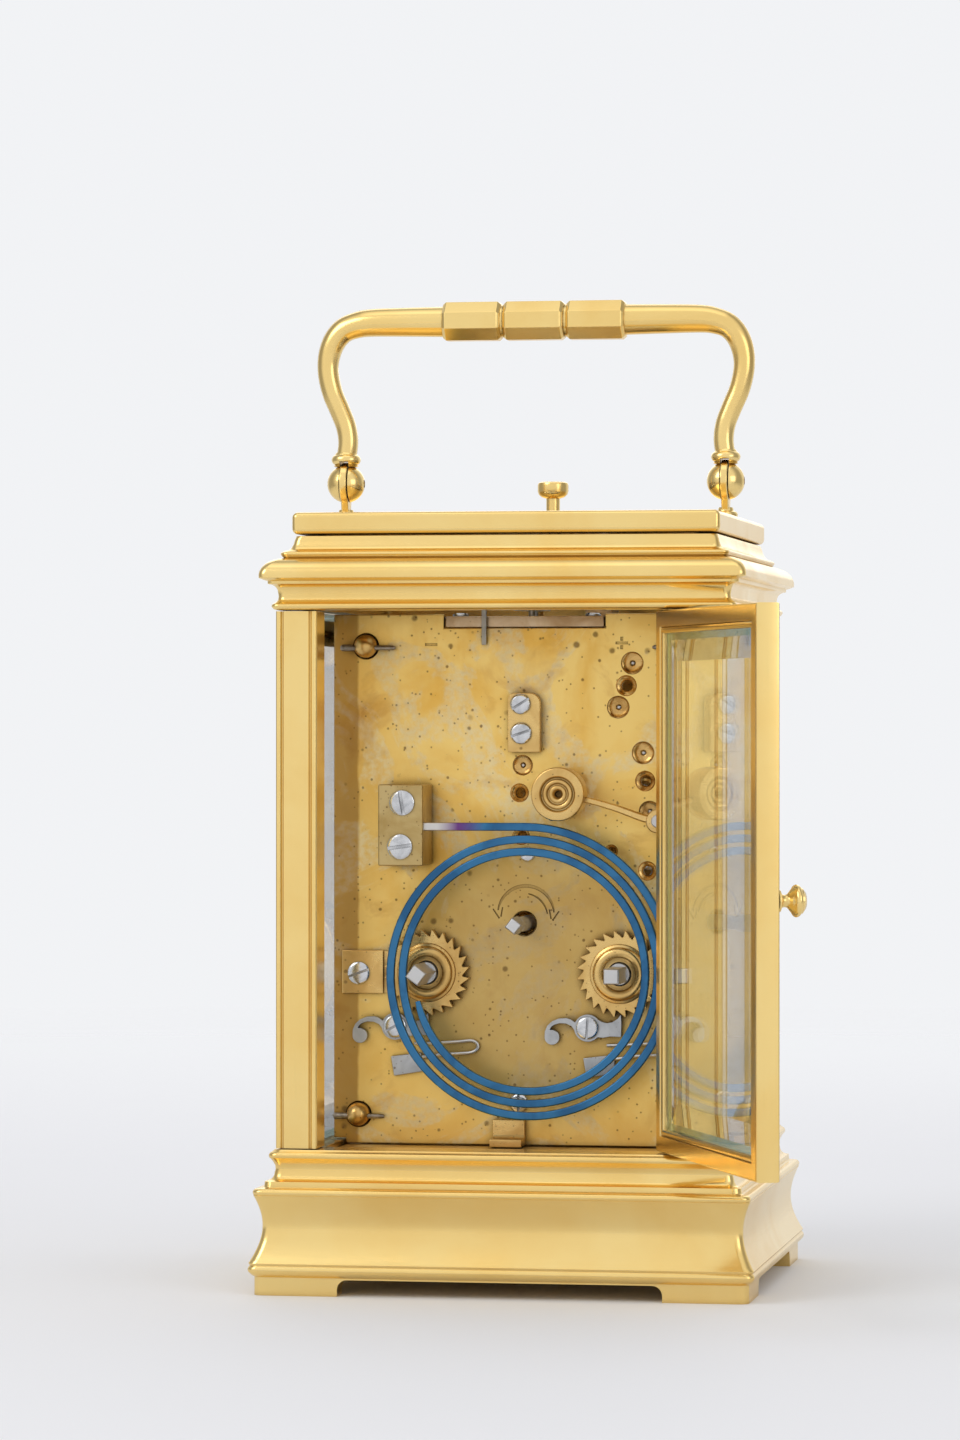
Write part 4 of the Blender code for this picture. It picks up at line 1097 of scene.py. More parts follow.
@dataclass
class Uprights(SubAssembly):
    """Four corner pillars, each with a grooved panel on both of its outer faces."""

    size: float = 7.5
    border: float = 0.95
    groove: float = 0.5
    depth: float = 0.4
    corner: float = 0.4

    def section(self) -> list[Point]:
        """Section of the +X, +Y pillar from its inner corner."""
        s, b, g, d, c = self.size, self.border, self.groove, self.depth, self.corner
        panel = 0.12
        side: list[Point] = [(s - c, 0.0), *arc((s - c, c), c, -90, 0, 4)[1:], (s, b - 0.15), (s - 0.12, b)]
        side += [(s - d, b + 0.18), (s - d, b + g - 0.18), (s - panel, b + g)]
        side += [(s - panel, s - b - g), (s - d, s - b - g + 0.18), (s - d, s - b - 0.18)]
        side += [(s - 0.12, s - b), (s, s - b + 0.15)]
        rear = [(y, x) for x, y in reversed(side)]
        return [(0.0, 0.0), *side, *arc((s - c, s - c), c, 0, 90, 5), *rear[:-1], (0.7, s), (0.0, s - 0.7)]

    def build(self) -> None:
        """Models one pillar and sets its copies round the case."""
        for along, across in itertools.product(("front", "rear"), ("left", "right")):
            name = f"column_{along}_{across}"
            low, high = self.frame.low(name), self.frame.high(name)
            x_sign, y_sign = (1 if across == "right" else -1), (1 if along == "rear" else -1)
            inner = Vector((low.x if x_sign > 0 else high.x, low.y if y_sign > 0 else high.y))
            outline = [(inner.x + x_sign * x, inner.y + y_sign * y) for x, y in self.section()]
            pillar = Bench.slab(f"corner_{name}", outline, Axis.Z, (low.z, high.z))
            self.add(pillar, "case_brass", Finish.CASE_UPRIGHT, name)


@dataclass
class Crown(SubAssembly):
    """Moulded cornice ring and the lid frame above it."""

    depth_less: float = 4.0
    corner: float = 1.4

    def levels(self) -> list[tuple[float, float, float]]:
        """Section of the cornice, up its outside and down its inside."""
        low, top = self.frame.low("cornice").z, self.frame.high("cornice").z
        outside = [(41.6, low), (42.0, low + 0.15), *arc((41.85, 121.15), 0.5, -50, 60, 5)]
        outside += [(41.75, 121.8), (41.35, 122.3), (41.25, 122.9), (41.35, 123.6)]
        outside += [(41.35 + 1.5 * (1 - math.cos(math.radians(a))), 123.6 + 1.5 * math.sin(math.radians(a)))
                    for a in range(15, 91, 15)]
        outside += [(42.95, 125.2), (42.95, 125.65), (43.6, 125.85)]
        outside += [(40.4 + 3.95 * math.cos(t), 126.6 + 3.2 * math.sin(t))
                    for t in (math.radians(7.5 * i) for i in range(-1, 12))]
        outside += [(40.45, 129.9), (40.75, 130.15)]
        outside += arc((40.55, 130.6), 0.38, -60, 80, 5)
        outside += [(40.3, 131.15), (39.7, 131.3), (39.3, 131.7), (38.95, 132.4), (38.75, 133.2), (38.5, top)]
        inside = [(33.9, top), (33.9, low)]
        return [(a, a - self.depth_less, z) for a, z in outside + inside]

    def build(self) -> None:
        """Models the cornice and the lid with its window and button hole."""
        ring = Bench.framed("cornice_moulding", self.levels(), Axis.Z, corner=self.corner)
        pivot, low = self.frame.pivot("rear_door_hinge"), self.frame.low("cornice").z
        hole = Bench.turned("hole", [(1.0, low - 1.5), (1.0, low + 1.9)], Axis.Z, (pivot.x, pivot.y), 24)
        Bench.cut(ring, hole)
        self.add(Bench.rounded(ring, 0.12, 2, 48.0), "case_brass", Finish.CASE, "cornice")
        low, high = self.frame.low("lid_frame"), self.frame.high("lid_frame")
        lid = Bench.block("lid_plate", *Frame.spans(low, high), 1.0, 5)
        pane_low, pane_high = self.frame.low("top_glass"), self.frame.high("top_glass")
        gap = 0.3
        recess = Bench.block("recess", (pane_low.x - gap, pane_high.x + gap),
                             (pane_low.y - gap, pane_high.y + gap),
                             (pane_low.z - 0.2, high.z + 2.0))
        through = Bench.block("through", (pane_low.x + 0.7, pane_high.x - 0.7),
                              (pane_low.y + 0.7, pane_high.y - 0.7), (low.z - 2.0, high.z))
        button = self.frame.middle("repeat_button")
        stem = Bench.turned("stem_hole", [(1.55, low.z - 2.0), (1.55, high.z + 2.0)], Axis.Z,
                            (button.x, button.y), 28)
        Bench.cut(lid, recess, through, stem)
        self.add(Bench.rounded(lid, 0.15, 2, 50.0), "case_brass", Finish.CASE, "lid_frame")


@dataclass
class Glazing(SubAssembly):
    """Bevelled panes of the sides, the front and the lid."""

    bevel: float = 6.0
    lid_bevel: float = 5.0
    green: float = 1.3

    def pane(self, node: str, axis: Axis, outward: float, bevel: float, name: str) -> bpy.types.Object:
        """One pane: flat inside, bevelled outside, with a greenish rim.

        Args:
            node: The CAD pane whose place it takes.
            axis: The direction it faces.
            outward: 1 or -1, the way its bevel looks.
            bevel: The bevel's width.
            name: The pane's name.

        Returns:
            The pane.
        """
        low, high = self.frame.low(node), self.frame.high(node)
        near, far = ("yz", "x") if axis is Axis.X else (("xz", "y") if axis is Axis.Y else ("xy", "z"))
        spans = [(getattr(low, k), getattr(high, k)) for k in near]
        depth = (getattr(low, far), getattr(high, far))
        inner, outer = depth if outward > 0 else depth[::-1]
        half = [(b - a) / 2 for a, b in spans]
        centre = tuple((a + b) / 2 for a, b in spans)
        rim = inner + (outer - inner) * 0.45
        seam = rim + (outer - rim) * self.green / bevel
        levels = [(half[0] - 0.1, half[1] - 0.1, inner), (half[0], half[1], inner + (rim - inner) * 0.12),
                  (half[0], half[1], rim), (half[0] - self.green, half[1] - self.green, seam),
                  (half[0] - bevel, half[1] - bevel, outer)]
        pane = Bench.framed(name, levels, axis, centre, solid=True)
        Glazing.rimmed(pane, axis, half, centre, self.green)
        return pane

    @staticmethod
    def rimmed(pane: bpy.types.Object, axis: Axis, half: Sequence[float], centre: Sequence[float],
               green: float) -> None:
        """Gives a pane's edge and the thin start of its bevel the greenish rim glass.

        Args:
            pane: The pane.
            axis: The direction it faces.
            half: Its half sizes across that direction.
            centre: Its middle across that direction.
            green: How wide the greenish start of the bevel is.
        """
        pane.data.materials.append(Finish.GLASS.material())
        pane.data.materials.append(Finish.GLASS_RIM.material())
        facing = Vector(axis.value)
        across = {"X": (1, 2), "Y": (0, 2), "Z": (0, 1)}[axis.name]
        for face in pane.data.polygons:
            middle = [face.center[i] / MM for i in across]
            inset = min(h - abs(m - c) for h, m, c in zip(half, middle, centre))
            face.material_index = int(abs(face.normal.dot(facing)) < 0.3 or inset < green * 0.75)

    def build(self) -> None:
        """Models the four panes that don't move."""
        self.add(self.pane("side_glass_left", Axis.X, -1, self.bevel, "side_pane_left"), "bevelled_glass",
                 Finish.GLASS, "side_glass_left", flat=True)
        self.add(self.pane("side_glass_right", Axis.X, 1, self.bevel, "side_pane_right"), "bevelled_glass",
                 Finish.GLASS, "side_glass_right", flat=True)
        self.add(self.pane("front_glass", Axis.Y, -1, self.bevel, "front_pane"), "bevelled_glass",
                 Finish.GLASS, "front_glass", flat=True)
        self.add(self.pane("top_glass", Axis.Z, 1, self.lid_bevel, "lid_pane"), "bevelled_glass",
                 Finish.GLASS, "top_glass", flat=True)


@dataclass
class CarryingHandle(SubAssembly):
    """Bail handle with a faceted grip, hung on two lugs by its ball ends."""

    body: str = "handle"
    ball: float = 3.55
    flats: float = 3.6
    thin: float = 1.85
    thick: float = 2.9

    def arm(self, side: float, axis_z: float, grip_z: float) -> bpy.types.Object:
        """One arm from its collar to under the grip."""
        rise = [(35.9, 4.6), (35.5, 7.7), (35.9, 10.7), (37.1, 13.8), (38.5, 17.1), (39.3, 20.7)]
        rise += [(39.2, 23.8), (38.2, 26.7), (36.4, 28.8), (33.9, 29.8)]
        points = [(side * x, axis_z + z) for x, z in rise]
        points += [(side * 31.0, grip_z), (side * 24.0, grip_z + 0.05), (side * 16.0, grip_z)]
        line = eased(points, 6)
        last = len(line) - 1
        swell = [max(i / last - 0.45, 0.0) / 0.55 for i in range(last + 1)]
        radii = [self.thin + 0.3 * i / last + (self.thick - self.thin - 0.3) * swell[i]
                 for i in range(last + 1)]
        return Bench.swept("arm", [Vector((x, 0.0, z)) for x, z in line], radii, 24)

    def facets(self, low: float, high: float, grip_z: float) -> bpy.types.Object:
        """One octagonal stretch of the grip, chamfered at both ends."""
        corner = self.flats / math.cos(math.pi / 8)
        profile = [(2.9, low), (corner - 0.55, low), (corner, low + 0.6), (corner, high - 0.6)]
        profile += [(corner - 0.55, high), (2.9, high)]
        piece = Bench.turned("facets", profile, Axis.X, (0.0, grip_z), 8)
        piece.data.transform(Matrix.Translation((0.0, 0.0, -grip_z * MM)))
        piece.rotation_euler.x = math.pi / 8
        piece.location.z = grip_z * MM
        return Bench.rounded(Bench.settled(piece), 0.10, 2, 20.0)

    def end(self, x: float, axis_z: float) -> bpy.types.Object:
        """Slotted ball with its collar."""
        ball = arc((0.0, 0.0), self.ball, -90, 62, 16)
        ball += [(2.05, 3.15), (2.35, 3.35), *arc((1.75, 4.5), 1.0, -68, 68, 8), (2.05, 5.6), (1.8, 5.9)]
        piece = Bench.turned("ball", [(max(r, 0.02), axis_z + z) for r, z in ball], Axis.Z, (x, 0.0), 32)
        slot = Bench.block("slot", (x - 0.85, x + 0.85), (-6.0, 6.0), (axis_z - 5.0, axis_z + 4.15))
        bore = Bench.turned("bore", [(0.75, x - 5.0), (0.75, x + 5.0)], Axis.X, (0.0, axis_z), 20)
        return Bench.cut(piece, slot, bore)

    def build(self) -> None:
        """Models the bail and its two lugs and pins."""
        axis_z, grip_z = self.frame.pivot("handle_swing").z, 175.1
        parts = [self.arm(side, axis_z, grip_z) for side in (-1.0, 1.0)]
        for low, high in ((-17.2, -6.2), (-5.7, 5.7), (6.2, 17.2)):
            parts.append(self.facets(low, high, grip_z))
        for side in (-1.0, 1.0):
            parts.append(self.end(side * (self.frame.high("handle_lug_right").x - 2.2), axis_z))
        for low, high in ((-17.2, -5.6), (-6.0, 6.0), (5.6, 17.2)):
            neck = [(3.05, low + 0.1), (3.05, high - 0.1)]
            parts.append(Bench.turned("neck", neck, Axis.X, (0.0, grip_z), 32))
        self.add(Bench.grouped("bail_handle", parts), "case_brass", Finish.CASE, "handle")
        for name in ("left", "right"):
            self.lug(name, axis_z)

    def lug(self, name: str, axis_z: float) -> None:
        """Models one lug, whose flat blade fills the slot of the ball, and its pin."""
        node = f"handle_lug_{name}"
        low, x = self.frame.low(node).z, self.frame.middle(node).x
        foot = [(2.2, low - 0.1), (2.25, low + 0.4), (2.0, low + 0.75), (1.5, low + 0.95), (1.3, low + 1.6)]
        flange = Bench.turned(f"lug_{name}", foot, Axis.Z, (x, 0.0), 32)
        eye = [(-1.25, low + 0.7), (1.25, low + 0.7)]
        eye += [(y, axis_z + z) for y, z in arc((0.0, 0.0), 3.98, -62, 242, 28)]
        blade = Bench.slab("blade", eye, Axis.X, (x - 0.68, x + 0.68), 0.25, 3)
        Bench.fused(flange, blade)
        self.add(flange, "case_brass", Finish.CASE, node, body="case")
        pin = [(0.35, x - 3.25), (0.62, x - 3.1), (0.62, x + 3.1), (0.35, x + 3.25)]
        self.add(Bench.turned(f"swivel_pin_{name}", pin, Axis.X, (0.0, axis_z), 20), "polished_steel",
                 Finish.STEEL, f"handle_pin_{name}", body="case")


@dataclass
class RepeatButton(SubAssembly):
    """Push button on the lid that sets off the repeat work."""

    body: str = "repeat_button"

    def build(self) -> None:
        """Models the button's head and stem."""
        low, high = self.frame.low("repeat_button"), self.frame.high("repeat_button")
        x, y = self.frame.middle("repeat_button").x, self.frame.middle("repeat_button").y
        head = high.z - 2.6
        profile = [(2.2, low.z), (2.3, low.z + 2.2), (1.3, low.z + 2.4), (1.3, head - 0.6), (2.2, head - 0.3)]
        profile += [(2.75, head + 0.2), (2.95, head + 0.8), (2.95, high.z - 0.6), (2.8, high.z - 0.2)]
        profile += [(2.4, high.z), (0.6, high.z)]
        self.add(Bench.turned("repeat_push", profile, Axis.Z, (x, y), 40), "case_brass", Finish.CASE,
                 "repeat_button")


@dataclass
class RearDoor(SubAssembly):
    """Glazed door, modelled shut with its pivot at the origin and then swung open."""

    body: str = "rear_door"
    width: float = 64.1
    heel: float = 2.9
    half_thick: float = 2.1
    border: float = 3.0
    bead: float = 1.15
    green: float = 2.2
    knob_z: float = 70.1

    def hung(self, piece: bpy.types.Object) -> bpy.types.Object:
        """Swings a piece modelled about its pivot into the open door's place."""
        hinge = self.frame.joint("rear_door_hinge")
        pivot = self.frame.pivot("rear_door_hinge")
        piece.rotation_euler.z = self.opened(hinge)
        piece.location = Vector((pivot.x, pivot.y, 0.0)) * MM
        return Bench.settled(piece)

    @staticmethod
    def opened(hinge: dict) -> float:
        """How far the door stands open at rest, in radians: its whole closing travel."""
        limits = hinge.get("range_rad") or [math.radians(a) for a in hinge["range_deg"]]
        return -limits[0]

    def build(self) -> None:
        """Models the frame, its bead and hinge pins, the pane and the knob."""
        low = self.frame.low("rear_door_frame").z + 1.8
        high = self.frame.high("rear_door_frame").z - 1.8
        t, centre = self.half_thick, ((self.width - self.heel) / 2, (low + high) / 2)
        half = ((self.width + self.heel) / 2, (high - low) / 2)
        opening = self.border
        out = [(0.0, -t + 0.45), (0.13, -t + 0.13), (0.45, -t)]
        face = [(opening - 0.1, -t), (opening, -t + 0.25)]
        bead = [(opening + self.bead * (1 - math.cos(math.radians(a))) * 0.5,
                 -t + 0.55 - 0.42 * math.sin(math.radians(a))) for a in range(0, 181, 30)]
        inner = [(opening + self.bead, -t + 0.9), (opening + self.bead, -0.95), (opening, -0.95),
                 (opening, 1.35)]
        back = [(opening - 0.1, t), (0.45, t), (0.13, t - 0.13), (0.0, t - 0.45)]
        levels = [(half[0] - d, half[1] - d, y) for d, y in out + face + bead + inner + back]
        door = Bench.framed("glazed_door_frame", levels, Axis.Y, centre)
        pins = [Bench.turned("pin", [(0.8, z - 1.4), (0.8, z + 1.4)], Axis.Z, (0.0, 0.0), 20)
                for z in (low - 0.4, high + 0.4)]
        for pin in pins:
            Bench.fused(door, pin)
        self.add(self.hung(door), "case_brass", Finish.CASE_UPRIGHT, "rear_door_frame")
        inset, bevel = opening + 0.15, 6.0
        a, b = half[0] - inset, half[1] - inset
        seam = 0.2 + self.green / bevel
        pane = Bench.framed("door_pane", [(a, b, -0.9), (a, b, 0.2), (a - self.green, b - self.green, seam),
                                          (a - bevel, b - bevel, 1.2)], Axis.Y, centre, solid=True)
        Glazing.rimmed(pane, Axis.Y, (a, b), centre, self.green)
        self.add(self.hung(pane), "bevelled_glass", Finish.GLASS, "rear_door_glass", flat=True)
        spool = [(1.9, 0.0), (1.9, 0.35), (1.2, 0.7), *eased([(1.05, 1.1), (1.15, 1.7), (1.9, 2.35)], 3)]
        spool += [*arc((2.15, 3.3), 0.62, -80, 80, 7), (2.2, 4.2), (1.6, 4.7), (0.8, 4.88)]
        knob = Bench.turned("door_knob", [(r, t + 0.02 + h) for r, h in spool], Axis.Y,
                            (self.width - 1.9, self.knob_z), 36)
        self.add(self.hung(knob), "case_brass", Finish.CASE, "rear_door_knob")


def polar(centre: Point, radius: float, angle: float) -> Point:
    """The point at a radius and an angle in radians about a centre."""
    return centre[0] + radius * math.cos(angle), centre[1] + radius * math.sin(angle)


class Tooth(Enum):
    """Tooth shapes, as (share of the pitch, share of the depth) corners."""

    ROUND = ((0.0, 0.0), (0.07, 0.55), (0.18, 0.93), (0.25, 1.0), (0.32, 0.93), (0.43, 0.55), (0.5, 0.0))
    LEAF = ((0.0, 0.0), (0.04, 0.8), (0.2, 1.0), (0.36, 0.8), (0.4, 0.0))
    RATCHET = ((0.0, 0.0), (0.05, 1.0), (0.15, 0.97), (0.55, 0.35), (0.86, 0.0))
    CLUB = ((0.0, 0.0), (0.25, 0.8), (0.3, 1.0), (0.42, 0.92), (0.44, 0.75), (0.3, 0.0))


def toothed(kind: Tooth, count: int, tip: float, depth: float, centre: Point,
            start: float = 0.0) -> list[Point]:
    """Outline of a wheel with teeth of one kind.

    Args:
        kind: The shape of its teeth.
        count: How many it has.
        tip: Radius over the tips.
        depth: Height of the teeth.
        centre: The wheel's centre.
        start: Angle of the first tooth in radians.

    Returns:
        The outline's corners.
    """
    step = 2 * math.pi / count
    return [polar(centre, tip - depth * (1 - up), start + step * (i + share))
            for i in range(count) for share, up in kind.value]


@dataclass(frozen=True)
class Wheel:
    """A wheel with its spokes crossed out."""

    teeth: int
    tip: float
    depth: float
    centre: Point
    span: Span
    spokes: int = 5
    hub: float = 2.4
    rim: float = 1.5
    kind: Tooth = Tooth.ROUND

    def build(self, name: str) -> bpy.types.Object:
        """Models the wheel and opens the spaces between its spokes.

        Args:
            name: The wheel's name.

        Returns:
            The wheel.
        """
        outline = toothed(self.kind, self.teeth, self.tip, self.depth, self.centre)
        blank = Bench.slab(name, outline, Axis.Y, self.span)
        outer, step = self.tip - self.depth - self.rim, 2 * math.pi / max(self.spokes, 1)
        if not self.spokes or outer - self.hub < 1.0:
            return blank
        far, near = math.asin(0.45 / outer), math.asin(0.6 / self.hub)
        gap = [polar(self.centre, outer, far + (step - 2 * far) * k / 12) for k in range(13)]
        gap += [polar(self.centre, self.hub, step - near - (step - 2 * near) * k / 5) for k in range(6)]
        first = Bench.slab("crossing", gap, Axis.Y, (self.span[0] - 1.0, self.span[1] + 1.0))
        about = Vector((self.centre[0], 0.0, self.centre[1]))
        rest = [Bench.copied(first, "crossing", Vector(), step * i, Axis.Y, about)
                for i in range(1, self.spokes)]
        return Bench.cut(blank, Bench.grouped("crossings", [first, *rest]))


def square_bar(name: str, half: float, centre: Point, span: Span, turn: float) -> bpy.types.Object:
    """A squared arbor end along Y with a chamfered tip.

    Args:
        name: The piece's name.
        half: Half its width across flats.
        centre: Its axis as (x, z).
        span: Where it starts and stops along Y.
        turn: Its turn in degrees.

    Returns:
        The bar.
    """
    corner = half * math.sqrt(2)
    profile = [(corner, span[0]), (corner, span[1] - 0.35), (corner - 0.3, span[1])]
    bar = Bench.turned(name, profile, Axis.Y, (0.0, 0.0), 4)
    bar.rotation_euler.y = math.radians(turn + 45)
    bar.location = Vector((centre[0], 0.0, centre[1])) * MM
    return Bench.rounded(Bench.settled(bar), 0.08, 2, 30.0)


@dataclass
class Plates(SubAssembly):
    """Movement plates, their pillars and pins, the engraving and the fittings on the back plate."""

    notch: float = 15.1
    foot: float = 33.5
    cell: float = 7.0
    sinks: tuple[tuple[float, float, float], ...] = (
        (-20.1, 111.0, 2.1), (-17.5, 102.9, 2.1), (-22.1, 94.5, 2.1), (-23.3, 83.7, 2.0), (0.3, 92.2, 1.9))
    holes: tuple[tuple[float, float, float], ...] = (
        (-19.0, 106.85, 1.9), (-22.5, 89.3, 1.85), (-22.9, 72.8, 1.75), (0.9, 87.1, 1.7), (0.6, 79.1, 1.6),
        (-16.2, 76.4, 1.2))

    def outline(self, low: Vector, high: Vector) -> list[Point]:
        """Plate outline: narrower inside the plinth and notched for the platform."""
        sill = self.frame.high("base_plinth").z + 0.3
        ledge = self.frame.low("platform_plate").z - 0.2
        half = [(self.foot, low.z), (self.foot, sill), (high.x, sill), (high.x, high.z), (self.notch, high.z),
                (self.notch, ledge)]
        return half + [(-x, z) for x, z in reversed(half)]

    def build(self) -> None:
        """Models both plates and what is fixed to them."""
        low, high = self.frame.low("back_plate"), self.frame.high("back_plate")
        face = high.y
        back = Bench.slab("back_plate_sheet", self.outline(low, high), Axis.Y, (low.y, face), 0.18)
        Bench.gridded(back, Axis.X, [self.cell * i + 0.37 for i in range(-4, 5)])
        Bench.gridded(back, Axis.Z, [self.cell * i + 0.37 for i in range(3, 17)])
        tools = []

        def bore(x: float, z: float, radius: float) -> None:
            span = [(radius, low.y - 1.0), (radius, face - 0.2), (radius + 0.22, face + 0.02),
                    (radius + 0.22, face + 1)]
            tools.append(Bench.turned("bore", span, Axis.Y, (x, z), 40))

        for name in ("going", "strike"):
            at = self.frame.pivot(f"{name}_winding_turn")
            bore(at.x, at.z, 2.35)
        centre, hammer = self.frame.pivot("centre_turn"), self.frame.pivot("hammer_lift")
        bore(centre.x, centre.z, 2.2)
        for x, z in self.pillar_spots():
            bore(x, z, 2.28)
        for x, z, r in self.sinks:
            dish = [(0.3, face - 1.3), (0.34, face - 0.8)]
            dish += [(r * math.sin(t), face - 0.85 * r * 0.42 * math.cos(t)) for t in
                     (math.radians(a) for a in (18, 35, 52, 68, 80, 90))]
            tools.append(Bench.turned("sink", [*dish, (r, face + 1.0)], Axis.Y, (x, z), 40))
        for x, z, r in self.holes:
            dish = [(r * 0.5, low.y - 1.0), (r * 0.5, face - 0.62), (r * 0.82, face - 0.42), (r, face - 0.1),
                    (r + 0.06, face + 0.02), (r + 0.06, face + 1.0)]
            tools.append(Bench.turned("hole", dish, Axis.Y, (x, z), 40))
        group = Bench.grouped("back_plate_cutters", tools)
        post = Bench.turned("bore", [(1.4, low.y - 1.0), (1.4, face + 1.0)], Axis.Y, (hammer.x, hammer.z), 32)
        Bench.cut(back, group, post, *self.engraving(face, centre))
        self.darkened(back, face)
        self.add(back, "movement_brass", Finish.PLATE, "back_plate", flat=True)
        stubs = [Bench.turned("pivot", [(0.32, face - 1.6), (0.32, face - 0.62), (0.18, face - 0.5)], Axis.Y,
                              (x, z), 14) for x, z, _ in self.sinks]
        self.add(Bench.grouped("pivot_ends", stubs), "polished_steel", Finish.STEEL)
        low, high = self.frame.low("front_plate"), self.frame.high("front_plate")
        front = Bench.slab("front_plate_sheet", self.outline(low, high), Axis.Y, (low.y, high.y), 0.18)
        cutters = [Bench.turned("bore", [(2.0, low.y - 1), (2.0, high.y + 1)], Axis.Y, (centre.x, centre.z),
                                32)]
        Bench.cut(front, *cutters)
        self.add(front, "movement_brass", Finish.PLATE, "front_plate", flat=True)
        self.pillars(face)
        self.fittings(face)

    def darkened(self, back: bpy.types.Object, face: float) -> None:
        """Gives the sinks and holes of the back plate the darker turned_sink material, and smooth shading on
        their sloping walls.
        """
        back.data.materials.append(Finish.PLATE.material())
        back.data.materials.append(Finish.SINK.material())
        for polygon in back.data.polygons:
            spot = polygon.center / MM
            below = spot.y < face - 0.01
            for x, z, r in self.sinks + self.holes:
                if below and math.hypot(spot.x - x, spot.z - z) < r + 0.03:
                    polygon.material_index = 1
                    polygon.use_smooth = abs(polygon.normal.y) < 0.98

    def pillar_spots(self) -> list[Point]:
        """Middles of the four pillars."""
        names = [f"pillar_{a}_{b}" for a in ("top", "bottom") for b in ("left", "right")]
        return [(m.x, m.z) for m in (self.frame.middle(n) for n in names)]

    def engraving(self, face: float, centre: Vector) -> list[bpy.types.Object]:
        """Cutters of the arrow over the hand-setting hole and of the two marks by the regulator."""
        cuts = []
        middle = (centre.x - 0.3, centre.z + 1.7)

        def groove(route: Sequence[Point], halves: Sequence[float]) -> None:
            cuts.append(Bench.slab("groove", ribbon(route, halves), Axis.Y, (face - 0.3, face + 0.5)))

        sweep = arc(middle, 5.25, 8, 176, 26)
        groove(sweep, [0.13 + 0.20 * abs(math.sin(math.pi * i / 26)) ** 0.7 for i in range(27)])
        inner = arc((middle[0] + 0.3, middle[1] - 0.5), 4.35, 100, 172, 12)
        groove(inner, [0.10 + 0.08 * math.sin(math.pi * i / 12) for i in range(13)])
        for side, (x, z) in ((1, sweep[0]), (-1, sweep[-1])):
            tip = (x - 0.25 * side, z - 1.5)
            groove([(x + 0.95 * side, z + 0.25), tip], [0.12, 0.16])
            groove([(x - 0.85 * side, z + 0.55), (tip[0] - 0.28 * side, tip[1] + 0.3)], [0.12, 0.14])
        groove([(16.3, 114.5), (18.6, 114.5)], [0.26, 0.26])
        groove([(-19.3, 114.7), (-17.0, 114.7)], [0.26, 0.26])
        groove([(-18.15, 115.1), (-18.15, 115.85)], [0.26, 0.26])
        groove([(-18.15, 114.3), (-18.15, 113.55)], [0.26, 0.26])
        return cuts

    def pillars(self, face: float) -> None:
        """Models a turned pillar with a domed end, its copies, and their taper pins."""
        ends = (self.frame.low("pillar_top_left").y, self.frame.high("pillar_top_left").y)
        start, stop = ends[0], self.frame.low("back_plate").y - 0.2
        profile = [(3.3, start), (3.5, start + 0.3), (3.5, start + 1.6), (3.2, start + 1.8),
                   (3.2, start + 2.1)]
        profile += [(3.45, start + 2.5), (3.2, start + 3.0), (2.55, start + 3.5), (2.4, start + 4.5)]
        profile += [(2.75, (start + stop) / 2 - 1.0), (2.95, (start + stop) / 2),
                    (2.75, (start + stop) / 2 + 1.0)]
        profile += [(2.4, stop - 4.5), (2.55, stop - 3.5), (3.2, stop - 3.0), (3.45, stop - 2.5),
                    (3.2, stop - 2.1)]
        profile += [(3.2, stop - 1.8), (3.5, stop - 1.6), (3.5, stop - 0.3), (3.3, stop), (2.15, stop)]
        profile += [(2.15, face + 0.55)]
        profile += [(2.15 * math.cos(math.radians(a)),
                     face + 0.55 + (ends[1] - face - 0.55) * math.sin(math.radians(a)))
                    for a in range(15, 90, 15)]
        first = Bench.turned("pillar", profile, Axis.Y, (0.0, 0.0), 40)
        for index, (x, z) in enumerate(self.pillar_spots()):
            name = ("top_left", "top_right", "bottom_left", "bottom_right")[index]
            twin = Bench.copied(first, f"turned_pillar_{name}", Vector((x, 0.0, z)))
            self.add(twin, "movement_brass", Finish.FITTING, f"pillar_{name}")
            out = 1.0 if x > 0 else -1.0
            reach = 5.3 if z > 60 else 4.6
            rod = [(0.25, x - out * (reach + 0.4)), (0.42, x - out * reach), (0.62, x + out * 4.3),
                   (0.35, x + out * 4.6)]
            rod = rod if out > 0 else rod[::-1]
            pin = Bench.turned(f"taper_pin_{name}", rod, Axis.X, (face + 1.15, z - 0.3), 16)
            self.add(pin, "polished_steel", Finish.TAPER_PIN)
        bpy.data.objects.remove(first, do_unlink=True)

